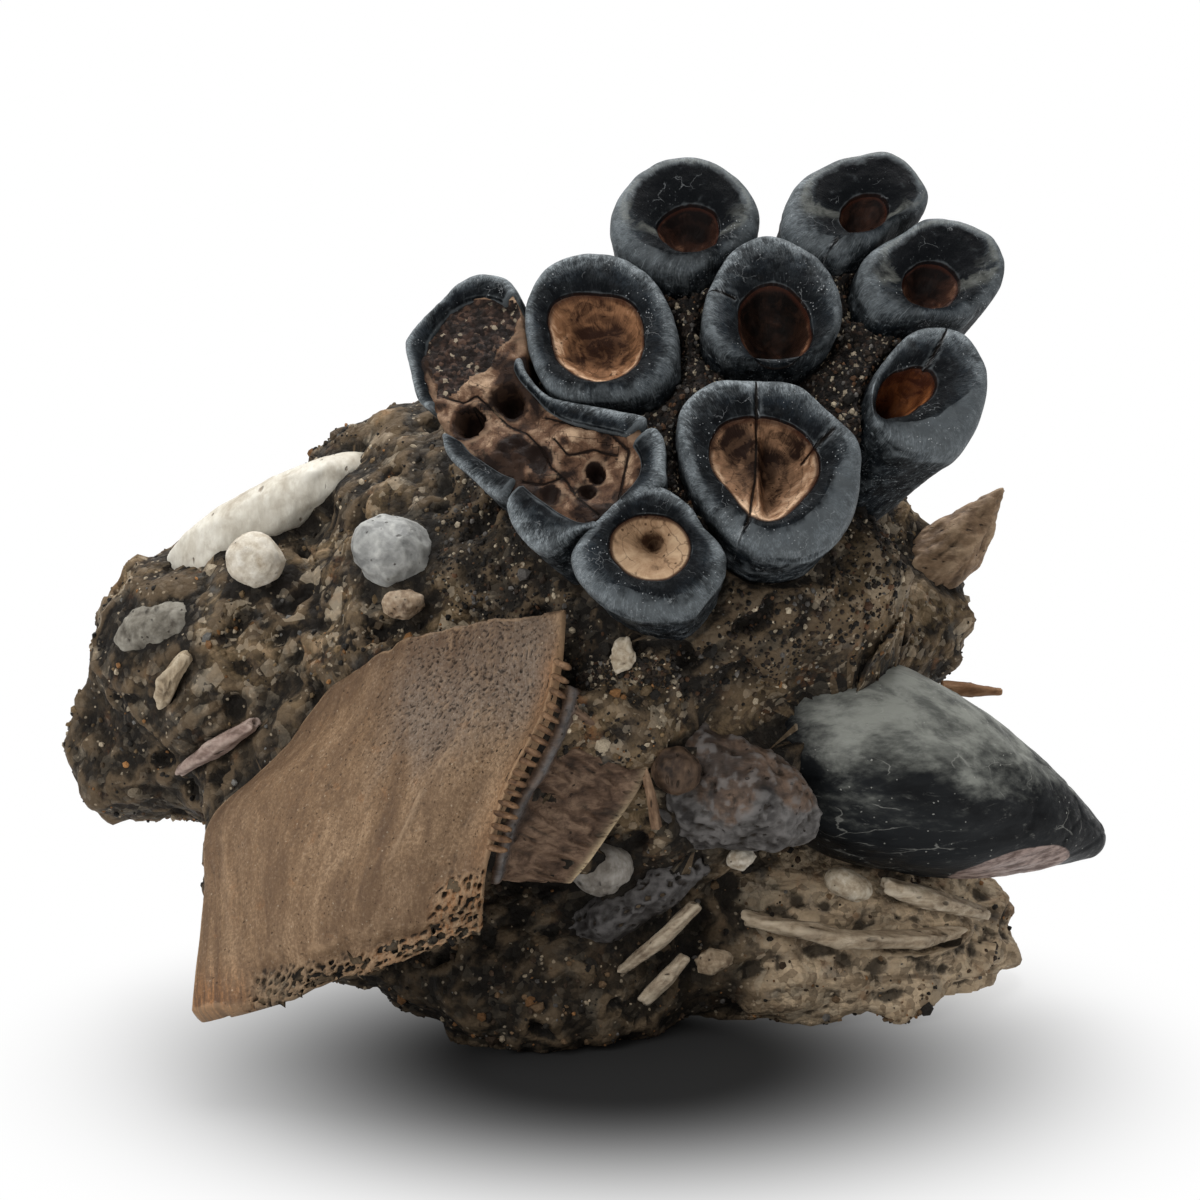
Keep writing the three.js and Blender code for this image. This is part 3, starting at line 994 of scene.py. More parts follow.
def pores() -> bpy.types.NodeTree:
    """Small holes of a spongy bone, of two sizes, more where Share is high.

    Returns:
        The node group.
    """
    graph, (place, scale, share), wanted = new_group("pores", "Mask", Scale=1400, Share=0.3)
    holes = []
    for factor, size in ((1.0, 0.34), (0.42, 0.3)):
        finer = graph.times(scale, factor)
        wander = graph.moved(place, 0.0003, graph.times(finer, 1.8), 3)
        holes.append(spots(graph, wander, finer, share, size * 0.4, size))
    graph.feed(wanted[0], graph.math("MAXIMUM", *holes))
    return graph.tree


# The effects that several finishes share, each a node group built once.
EFFECTS = {effect.__name__: effect() for effect in (mottle, specks, hairlines, dust, grains, pores)}


# ---- finishes ------------------------------------------------------------------------------------


@dataclass(frozen=True)
class EnamelFinish:
    """Fossil enamel: blue-black, satin, with a slate bloom on its rims that is partly a painted highlight,
    radial fibres and specks.

    The mesh stores `band` (0 at the outer rim to 1 at the cup, below 0 down the side), `fibre` (a place
    whose first two numbers run round the pillar), `blotch`, its bloom and painted highlight, `crack` and
    `hollow`.
    """

    name: str = "enamel"
    black: Colour = (0.0032, 0.004, 0.005)
    blue: Colour = (0.021, 0.0282, 0.0355)
    slate: Colour = (0.32, 0.356, 0.374)
    green: Colour = (0.165, 0.17, 0.152)
    chalk: Colour = (0.42, 0.44, 0.45)

    def material(self) -> Material:
        """Builds the material.

        Returns:
            The material.
        """
        s = Surface(self.name, 0.46, 0.035)
        place, fibre = s.place(), s.attribute("fibre", "Vector")
        band = s.attribute("band")
        streaks = s.noise(fibre, 2.6, 5, 0.65)
        fine = s.noise(fibre, 9, 3, 0.6)
        cloud = s.noise(place, 260, 5, 0.62, 0.6)
        s.colour = self.black
        s.tint(self.blue, s.step(cloud, 0.36, 0.66))
        outer = s.less(1, s.step(band, 0.04, 0.6))
        side = s.step(band, -2.2, -0.1)
        patch = s.step(s.times(streaks, 0.6, s.times(cloud, 0.7)), 0.55, 0.73)
        worn = s.noise(place, 620, 4, 0.65, 0.5)
        patch = s.times(patch, s.step(worn, 0.34, 0.6, (0.25, 1)))
        # Slate bloom on the outer rims, partly a painted highlight that is strongest where the rims face up.
        bloom = s.times(s.times(outer, side), s.times(patch, 1, 0.2))
        bloom = s.math("MULTIPLY", bloom, s.attribute("bloom"), clamp=True)
        s.tint(self.slate, bloom)
        inner = s.times(s.step(band, 0.4, 0.85), s.step(cloud, 0.85, 0.5))
        s.tint(self.black, inner, 0.92)
        scatter = s.mask("mottle", place, 520, 0.42, 0.09)
        thin = s.step(band, 0.75, 0.2, (0.25, 1))
        s.tint(self.slate, s.times(scatter, s.times(thin, 0.14)))
        s.tint(self.slate, s.times(thin, s.step(streaks, 0.55, 0.74, (0, 0.36))))
        s.tint(self.black, s.step(fine, 0.4, 0.6, (0.6, 0)))
        blotch = s.attribute("blotch")
        ragged = s.times(s.less(cloud, 0.5), 1.6, blotch)
        s.tint(self.black, s.step(ragged, 0.2, 0.72))
        halo = s.times(s.step(blotch, 0.04, 0.2), s.step(ragged, 0.45, 0.25))
        rim = s.times(s.times(halo, s.step(cloud, 0.3, 0.6)), 0.7)
        s.tint(self.green, rim)
        scuffs = s.noise(s.mapping(fibre, (0.5, 0.5, 5)), 3.2, 5, 0.7, 0.4)
        down = s.less(1, s.step(band, -1.2, -0.2))
        s.tint(self.black, s.times(down, s.step(scuffs, 0.5, 0.6, (0.5, 0))))
        s.tint(self.slate, s.times(down, s.step(scuffs, 0.56, 0.7, (0, 0.5))))
        specks = s.mask("specks", place, 2900, 0.26, 0.27)
        specks = s.times(specks, s.step(s.noise(place, 210, 4, 0.6), 0.46, 0.62))
        specks = s.times(specks, s.step(blotch, 0.6, 0.2, (0.15, 1)))
        s.tint(self.chalk, specks, 0.85)
        hairs = s.mask("hairlines", place, 330, 0.014, 0.34)
        s.tint(self.chalk, hairs, 0.3)
        crack = s.math("ABSOLUTE", s.attribute("crack"))
        line = s.step(crack, 0.05, 0.16, (1, 0))
        dusted = s.times(s.step(crack, 0.1, 0.5, (1, 0)), s.step(streaks, 0.5, 0.62))
        s.tint(self.chalk, dusted, 0.6)
        s.tint((0.003, 0.003, 0.003), s.times(line, s.step(cloud, 0.4, 0.55)))
        # Dirt and painted shade darken the hollows; wear lightens the crests.
        dirt, wear = s.dust(place, 0.12, 700)
        s.tint((0.016, 0.012, 0.009), dirt, 0.55)
        s.tint(self.slate, wear, 0.22)
        ring = s.times(s.step(band, 0.955, 0.99), s.step(cloud, 0.7, 0.35))
        s.tint((0.014, 0.006, 0.004), ring)
        relief = s.times(streaks, 0.8, s.times(fine, 0.5))
        relief = s.times(specks, 0.6, relief)
        relief = s.less(relief, s.times(line, 1.2))
        grit = s.noise(place, 3800, 3, 0.6)
        relief = s.times(grit, 0.5, relief)
        gloss = s.step(s.times(fine, 0.4, cloud), 0.4, 0.9, (0.58, 0.4))
        return s.finish(relief, 0.11, gloss)


@dataclass(frozen=True)
class DentineFinish:
    """Worn dentine in a cup: tan to dark brown, mottled, with fine tubes, specks and cracks.

    The mesh stores `band` (1 at the enamel to 2 in the middle), `fibre`, `crack`, `shade` and `hollow`.
    """

    name: str
    light: Colour = (0.36, 0.21, 0.115)
    middle: Colour = (0.17, 0.088, 0.045)
    dark: Colour = (0.028, 0.013, 0.008)
    share: float = 0.5
    specks: float = 0.12
    gloss: float = 0.5

    def material(self) -> Material:
        """Builds the material.

        Returns:
            The material.
        """
        s = Surface(self.name, 0.55, 0.07)
        place, fibre = s.place(), s.attribute("fibre", "Vector")
        band, shade = s.attribute("band"), s.attribute("shade")
        cloud = s.noise(place, 420, 6, 0.62, 0.8)
        broad = s.noise(place, 170, 3, 0.5, 0.5)
        tubes = s.noise(fibre, 5, 4, 0.6)
        level = s.times(cloud, 0.55, s.times(broad, 0.45))
        level = s.math("ADD", level, s.times(s.less(tubes, 0.5), 0.16))
        level = s.less(level, s.times(shade, 0.34))
        edge = 0.62 - 0.24 * self.share
        s.colour = self.dark
        s.tint(self.middle, s.step(level, edge - 0.2, edge + 0.02))
        s.tint(self.light, s.step(level, edge - 0.03, edge + 0.16))
        veins = s.mask("hairlines", place, 260, 0.035, 0.7)
        s.tint(self.dark, veins, 0.55)
        rings = s.math("SINE", s.times(cloud, 14, s.times(band, 16)))
        s.tint(self.middle, s.step(rings, 0.1, 1, (0, 0.16)))
        spots = s.mask("specks", place, 1500, self.specks, 0.3)
        s.tint(self.dark, spots, 0.8)
        crack = s.step(s.math("ABSOLUTE", s.attribute("crack")), 0.05, 0.2, (1, 0))
        s.tint((0.006, 0.004, 0.003), crack)
        rim = s.less(1, s.step(band, 1.01, 1.07))
        s.tint((0.03, 0.009, 0.005), rim, 0.9)
        # Dirt and painted shade darken the hollows; wear lightens the crests.
        dirt, wear = s.dust(place, 0.16, 800)
        s.tint(self.dark, dirt, 0.75)
        worn = s.times(wear, s.step(shade, 0.5, 0.1, (0, 0.3)))
        s.tint(self.light, worn)
        relief = s.times(cloud, 0.9, s.times(tubes, 0.5))
        relief = s.times(s.noise(place, 2600, 3, 0.6), 0.35, relief)
        relief = s.less(relief, s.times(spots, 0.5, crack))
        return s.finish(relief, 0.13, s.step(cloud, 0.3, 0.7, (self.gloss + 0.12, self.gloss - 0.08)))


@dataclass(frozen=True)
class BoneFinish:
    """Fossil bone: three tones drawn out along its grain, with pores, streaks, dirt and painted shade in
    hollows, and worn crests.

    The mesh stores `hollow`, and `smooth` and `rim` where they have a colour. The crown is a colour
    that the bone has above a height, with that height in metres.
    """

    name: str
    light: Colour
    middle: Colour
    dark: Colour
    grain: Point3 = (1.0, 1.0, 0.3)
    turn: Point3 = (0.0, 0.0, 0.0)
    scale: float = 420.0
    pores: float = 0.12
    pore_scale: float = 1500.0
    gloss: float = 0.6
    depth: float = 0.16
    # The colour of the pores, and of dirt and painted shade in hollows.
    dirt: Colour = (0.02, 0.014, 0.009)
    smooth: Optional[Colour] = None
    rim: Optional[Colour] = None
    crown: Optional[Colour] = None
    crown_at: float = 0.0

    def material(self) -> Material:
        """Builds the material.

        Returns:
            The material.
        """
        s = Surface(self.name, self.gloss, 0.2)
        place = s.place()
        along = s.mapping(place, self.grain, self.turn)
        streaks = s.noise(along, self.scale, 6, 0.62, 0.5)
        broad = s.noise(place, self.scale * 0.36, 4, 0.55, 0.4)
        level = s.times(streaks, 0.6, s.times(broad, 0.4))
        s.colour = self.dark
        s.tint(self.middle, s.step(level, 0.34, 0.52))
        s.tint(self.light, s.step(level, 0.47, 0.64))
        if self.crown:
            apart = s.add("SeparateXYZ", {0: place})
            high = s.times(s.less(broad, 0.5), 0.016, apart.outputs["Z"])
            tone = s.mix(s.step(level, 0.42, 0.6, (0.75, 0)), self.crown, self.dark)
            s.tint(tone, s.step(high, self.crown_at - 0.0008, self.crown_at + 0.0008))
        if self.smooth:
            tone = s.mix(s.step(level, 0.4, 0.6, (0.55, 0)), self.smooth, self.dark)
            s.tint(tone, s.attribute("smooth"))
        mottle = s.mask("mottle", place, self.scale * 1.6, 0.35, 0.08)
        s.tint(self.dark, mottle, 0.35)
        pores = s.mask("pores", along, self.pore_scale, self.pores)
        s.tint(self.dirt, pores, 0.85)
        fine = s.noise(along, self.scale * 5, 4, 0.65)
        s.tint(self.dark, s.step(fine, 0.4, 0.7, (0.3, 0)))
        # Dirt and painted shade darken the hollows; wear lightens the crests.
        dirt, wear = s.dust(place, 0.2, 900)
        s.tint(self.dirt, dirt, 0.8)
        s.tint(self.light, wear, 0.5)
        if self.rim:
            s.tint(self.rim, s.times(s.attribute("rim"), s.step(fine, 0.3, 0.5)))
        relief = s.times(fine, 0.6, streaks)
        relief = s.less(relief, s.times(pores, 1.6))
        rough = s.step(fine, 0.3, 0.7, (self.gloss + 0.12, self.gloss - 0.06))
        return s.finish(relief, self.depth, rough)


@dataclass(frozen=True)
class PlateFinish:
    """The broad plate: tan-brown, grey and porous at the top, orange along the suture, spongy below.

    The mesh stores `across` and `down` from 0 to 1, `ridge`, `spongy`, `grey` and `hollow`.
    """

    name: str = "plate_bone"
    light: Colour = (0.42, 0.28, 0.165)
    tan: Colour = (0.25, 0.155, 0.084)
    brown: Colour = (0.11, 0.064, 0.036)
    grey: Colour = (0.205, 0.168, 0.138)
    orange: Colour = (0.37, 0.165, 0.058)
    pale: Colour = (0.36, 0.29, 0.215)
    green: Colour = (0.12, 0.108, 0.078)
    # The colour of the pores, and of dirt and painted shade in hollows.
    dirt: Colour = (0.022, 0.014, 0.009)

    def material(self) -> Material:
        """Builds the material.

        Returns:
            The material.
        """
        s = Surface(self.name, 0.55, 0.22)
        place, run = s.place(), s.attribute("run", "Vector")
        across, down, grey = s.attribute("across"), s.attribute("down"), s.attribute("grey")
        spongy = s.attribute("spongy")
        streaks = s.noise(s.mapping(run, (1, 0.3, 1)), 0.8, 6, 0.6, 0.6)
        broad = s.noise(s.mapping(run, (1, 0.4, 1)), 0.13, 4, 0.55, 0.8)
        fine = s.noise(s.mapping(run, (1, 0.4, 1)), 4.5, 4, 0.65)
        level = s.times(streaks, 0.35, s.times(broad, 0.65))
        s.colour = self.brown
        s.tint(self.tan, s.step(level, 0.3, 0.5))
        s.tint(self.light, s.step(level, 0.45, 0.66))
        ashy = s.times(s.less(broad, 0.5), 1.2, grey)
        s.tint(self.grey, s.step(ashy, 0.25, 0.8, (0, 0.8)))
        suture = s.times(s.step(across, 0.86, 0.985), s.step(down, 0.05, 0.2))
        suture = s.times(suture, s.step(down, 0.8, 0.66))
        warm = s.times(suture, s.step(streaks, 0.3, 0.6, (0.5, 1)))
        s.tint(self.orange, warm, 0.8)
        rust = s.mask("mottle", place, 420, 0.2, 0.06)
        s.tint(self.orange, rust, 0.3)
        bright = s.times(s.step(across, 0.62, 0.8), s.times(s.step(down, 0.2, 0.4), s.step(down, 0.8, 0.6)))
        s.tint(self.light, s.times(bright, s.step(streaks, 0.3, 0.6, (0.2, 0.6))))
        tip = s.times(s.step(down, 0.85, 0.97), s.step(across, 0.42, 0.12))
        rust_brown = s.mix(s.step(streaks, 0.4, 0.6), (0.1, 0.045, 0.022), self.orange)
        s.tint(rust_brown, tip, 0.9)
        shaded = s.times(s.step(across, 0.26, 0.02), s.step(down, 0.75, 0.45))
        shaded = s.math("MAXIMUM", shaded, s.times(s.step(down, 0.3, 0.04), s.step(across, 0.9, 0.6)))
        lower = s.times(s.step(across, 0.5, 0.7), s.times(s.step(down, 0.62, 0.74), 0.6))
        shaded = s.math("MAXIMUM", shaded, s.times(lower, s.step(across, 0.98, 0.9)))
        s.tint(self.brown, s.times(shaded, s.step(streaks, 0.65, 0.35, (0.5, 0.95))))
        blots = s.mask("mottle", s.mapping(run, (0.001, 0.0005, 0.001)), 190, 0.4, 0.12)
        s.tint(self.brown, blots, 0.4)
        s.tint(self.pale, s.attribute("ridge"), 0.5)
        olive = s.times(spongy, s.step(across, 0.7, 0.35))
        s.tint(self.green, olive, 0.75)
        rusty = s.times(spongy, s.step(across, 0.55, 0.8, (0, 0.8)))
        s.tint(s.mix(s.step(streaks, 0.42, 0.58), self.orange, self.light), rusty)
        share = s.times(grey, 0.32, s.times(spongy, 0.35, 0.05))
        pores = s.mask("pores", place, 4300, share)
        s.tint(self.dirt, s.times(pores, s.step(broad, 0.3, 0.6, (0.75, 0.35))))
        grainy = s.noise(place, 2600, 4, 0.7)
        s.tint(self.brown, s.step(grainy, 0.4, 0.58, (0.5, 0)))
        s.tint(self.pale, s.step(grainy, 0.55, 0.72, (0, 0.45)))
        specks = s.mask("specks", place, 1700, 0.06, 0.24)
        s.tint((0.52, 0.42, 0.3), specks, 0.6)
        s.tint(self.brown, s.step(fine, 0.36, 0.62, (0.4, 0)))
        # Dirt and painted shade darken the hollows; wear lightens the crests.
        dirt, wear = s.dust(place, 0.14, 1100)
        s.tint(self.dirt, dirt, 0.8)
        s.tint(self.light, wear, 0.4)
        relief = s.times(fine, 0.6, s.times(streaks, 0.8))
        relief = s.less(relief, s.times(pores, 1.5))
        relief = s.times(s.noise(place, 4200, 3, 0.6), 0.35, relief)
        return s.finish(relief, 0.12, s.step(fine, 0.3, 0.7, (0.66, 0.46)))


@dataclass(frozen=True)
class SecondToothFinish:
    """The tooth on its side: black below and mottled greenish grey above, the grey partly painted light on
    its top; scratched, with a pink worn end.

    The mesh stores how far each point faces up, for the painted light on its top, `dentine` and `hollow`.
    """

    name: str = "second_tooth_enamel"
    black: Colour = (0.003, 0.0034, 0.0042)
    charcoal: Colour = (0.012, 0.0135, 0.015)
    grey: Colour = (0.3, 0.308, 0.275)
    chalk: Colour = (0.4, 0.4, 0.365)
    pink: Colour = (0.37, 0.28, 0.245)

    def material(self) -> Material:
        """Builds the material.

        Returns:
            The material.
        """
        s = Surface(self.name, 0.46, 0.11)
        place = s.place()
        lengthways = s.mapping(place, (0.4, 1, 1), (0, 14, 0))
        cloud = s.noise(lengthways, 150, 6, 0.6, 0.9)
        fine = s.noise(lengthways, 1100, 5, 0.65)
        # Partly painted light: the mottled grey is laid where the tooth faces up, as if lit from above.
        up = s.attribute("up")
        level = s.times(s.less(cloud, 0.5), 0.9, up)
        level = s.times(s.less(fine, 0.5), 0.45, level)
        s.colour = self.black
        s.tint(self.charcoal, s.step(cloud, 0.35, 0.62))
        s.tint(self.grey, s.step(level, 0.3, 0.86))
        murk = s.noise(lengthways, 330, 6, 0.68, 0.35)
        s.tint(self.charcoal, s.step(murk, 0.58, 0.36, (0, 0.55)))
        blots = s.mask("mottle", lengthways, 190, 0.3, 0.07)
        s.tint(self.charcoal, blots, 0.4)
        scuffs = s.noise(s.mapping(place, (0.3, 1, 1), (0, -35, 20)), 900, 5, 0.7, 0.3)
        s.tint(self.chalk, s.step(scuffs, 0.58, 0.76, (0, 0.3)))
        scratches = s.mask("hairlines", lengthways, 240, 0.02, 0.4)
        s.tint(self.chalk, scratches, 0.4)
        specks = s.mask("specks", place, 1900, 0.05, 0.28)
        s.tint(self.chalk, specks, 0.7)
        worn = s.times(s.less(cloud, 0.5), 0.3, s.attribute("dentine"))
        tone = s.mix(s.step(fine, 0.35, 0.65), (0.12, 0.08, 0.068), self.pink)
        s.tint(tone, s.step(worn, 0.46, 0.54))
        # Dirt and painted shade darken the hollows.
        dirt, _ = s.dust(place, 0.2, 700)
        s.tint(self.black, dirt, 0.5)
        relief = s.times(fine, 0.7, s.times(scuffs, 0.6))
        relief = s.times(specks, 0.5, relief)
        return s.finish(relief, 0.12, s.step(fine, 0.3, 0.7, (0.5, 0.34)))


@dataclass(frozen=True)
class RockFinish:
    """The bone-bed matrix: cemented sand in olive, tan and dark brown, black and gritty by the tooth, with
    painted shade under it and round the pieces.

    The mesh stores `hollow`, how black it is (1 where it is black, for dark matrix and for painted shade)
    and `warm` (1 where it is brown and fibrous).
    """

    name: str = "matrix_rock"
    olive: Colour = (0.15, 0.104, 0.055)
    tan: Colour = (0.32, 0.222, 0.13)
    brown: Colour = (0.07, 0.044, 0.027)
    black: Colour = (0.011, 0.009, 0.007)
    rust: Colour = (0.3, 0.13, 0.046)
    pale: Colour = (0.52, 0.43, 0.31)
    cream: Colour = (0.68, 0.52, 0.345)
    grey: Colour = (0.15, 0.143, 0.128)

    def material(self) -> Material:
        """Builds the material.

        Returns:
            The material.
        """
        s = Surface(self.name, 0.85, 0.25)
        place = s.place()
        zones = s.noise(place, 95, 5, 0.62, 0.8)
        patches = s.noise(place, 330, 6, 0.66, 0.8)
        layered = s.noise(s.mapping(place, (0.3, 0.6, 1.5), (0, 14, 0)), 260, 6, 0.66, 0.7)
        soot, warm = s.attribute("soot"), s.attribute("warm")
        share = s.math("ADD", s.times(patches, s.less(1, warm)), s.times(layered, warm))
        share = s.times(s.less(zones, 0.5), 0.5, share)
        s.colour = self.brown
        s.tint(self.olive, s.step(share, 0.38, 0.52))
        s.tint(self.tan, s.step(share, 0.54, 0.68))
        s.tint(self.cream, s.times(warm, s.step(layered, 0.38, 0.56, (0.3, 1))))
        dark = s.step(s.times(patches, 0.6, zones), 0.9, 0.7)
        dark = s.times(dark, s.times(warm, -0.6, 0.9))
        s.tint(self.black, dark)
        rusty = s.mask("mottle", place, 240, 0.22, 0.07)
        s.tint(self.rust, rusty, 0.45)
        ashy = s.mask("mottle", s.mapping(place, (1, 1, 1), (40, 0, 0)), 180, 0.22, 0.06)
        s.tint(self.grey, ashy, 0.5)
        grains = s.use("grains", place, 1150)
        number = grains.outputs["Grain"]
        s.tint(self.pale, s.step(number, 0.76, 0.95, (0, 0.38)))
        s.tint(self.black, s.step(number, 0.36, 0.1, (0, 0.5)))
        coarse = s.use("grains", place, 430)
        s.tint(self.pale, s.step(coarse.outputs["Grain"], 0.84, 0.97, (0, 0.5)))
        # Black for the dark matrix by the tooth, and painted shade underneath and round the bedded pieces.
        sooty_and_shaded = s.times(s.less(patches, 0.5), 1.3, soot)
        s.tint(self.black, s.step(sooty_and_shaded, 0.3, 0.75), 0.82)
        bright = s.mask("specks", place, 1300, 0.12, 0.34)
        s.tint(self.pale, bright, 0.55)
        # Dirt and painted shade darken the hollows; wear lightens the crests.
        dirt, wear = s.dust(place, 0.34, 900)
        s.tint(self.black, dirt, 0.85)
        s.tint(self.tan, wear, 0.3)
        relief = s.times(coarse.outputs["Height"], 1.4, grains.outputs["Height"])
        relief = s.times(patches, 1.6, relief)
        return s.finish(relief, 0.3, s.step(number, 0, 1, (0.95, 0.7)))


@dataclass(frozen=True)
class GritFinish:
    """Loose grains: each has the colour that its mesh stores as `tone`, a little worn and dusty."""

    name: str = "grit"

    def material(self) -> Material:
        """Builds the material.

        Returns:
            The material.
        """
        s = Surface(self.name, 0.8, 0.3)
        place = s.place()
        tone = s.attribute("tone", "Color")
        fine = s.noise(place, 4200, 4, 0.65)
        s.colour = tone
        s.tint(s.mix(0.65, tone, (0.01, 0.008, 0.006)), s.step(fine, 0.35, 0.65, (0.5, 0)))
        s.tint((0.4, 0.33, 0.25), s.step(fine, 0.62, 0.8, (0, 0.25)))
        return s.finish(fine, 0.12, s.step(fine, 0.3, 0.7, (0.9, 0.6)))


@dataclass(frozen=True)
class StudioFinish:
    """The pale floor: a painted grey shadow round the object, matt near it, and glowing as bright as the
    backdrop further out.
    """

    name: str = "studio_floor"
    # The painted shadow: from its middle, squeezed across, it fades out between near and far, in metres.
    near: float = 0.012
    far: float = 0.062
    across: float = 0.7
    middle: Point3 = (0.0046, -0.0298, 0.0)

    def material(self) -> Material:
        """Builds the material.

        Returns:
            The material.
        """
        s = Surface(self.name, 0.9, 0.0)
        place = s.mapping(s.place(), (self.across, 1.0, 1.0))
        middle = (self.across * self.middle[0], *self.middle[1:])
        off = s.add("VectorMath", {0: place, 1: middle}, operation="DISTANCE").outputs["Value"]
        # Painted shadow: the floor is dark grey close round the middle and pale further out.
        grey = s.mix(s.step(off, 0.02, 0.07), (0.045, 0.045, 0.045), (0.8, 0.8, 0.8))
        s.feed(s.shader.inputs["Base Color"], grey)
        # Further out the floor glows as bright as the backdrop, which fades the painted shadow out.
        glow = s.add("Emission", {"Strength": 1.0}).outputs[0]
        shares = {0: s.step(off, self.near, self.far), 1: s.shader.outputs[0], 2: glow}
        s.feed(s.output.inputs["Surface"], s.add("MixShader", shares).outputs[0])
        return s.material


# ---- the tooth ----

# The tooth's own coordinates: the pillars' length, where their origin lies, how far they lean back,
# what they take in beside and below the tooth, and how the pillars draw together towards the root.
PILLAR_LENGTH = 38.0
TOOTH_PLACE = np.array([0.4, -25.0, 62.8])
TOOTH_TILT = math.radians(50)
TOOTH_ZONE = ((-24.0, 52.0), (-4.0, 66.0), (-22.0, 99.0))
ROOT_CENTRE = (14.0, 30.0)
ROOT_NARROWING = (0.5, 0.38)


def from_tooth(points: Array) -> Array:
    """Takes points from the tooth's own coordinates to the frame, in millimetres.

    Args:
        points: x to the right, y up the chewing surface and z along the pillars, shape (n, 3).

    Returns:
        The same points in the frame, drawn together towards the root.
    """
    depth = -points[:, 2] / PILLAR_LENGTH
    x = points[:, 0] - (points[:, 0] - ROOT_CENTRE[0]) * ROOT_NARROWING[0] * depth
    y = points[:, 1] - (points[:, 1] - ROOT_CENTRE[1]) * ROOT_NARROWING[1] * depth
    z = points[:, 2]
    cos, sin = math.cos(TOOTH_TILT), math.sin(TOOTH_TILT)
    turned = columns(x, y * cos - z * sin, y * sin + z * cos)
    return turned + TOOTH_PLACE + DRAWING


def stages(run: Array, counts: Sequence[int]) -> list[Array]:
    """How far each point of a grid is through each stage of its rings, from 0 to 1.

    Args:
        run: the place across the rings, from 0 to 1, shape (n,).
        counts: how many rings each stage has.

    Returns:
        A row for each stage, shape (n,).
    """
    marks = np.cumsum((0, *counts))
    ring = np.round(run * marks[-1])
    return [np.clip((ring - low) / (high - low), 0, 1) for low, high in zip(marks[:-1], marks[1:])]


class Cup(Enum):
    """How a pillar's dentine is worn."""

    BOWL = "an even bowl"
    PIT = "a shallow dish with a small pit"
    SPLIT = "two hollows, the right one deeper"
    TUNNEL = "a narrow deep hole"


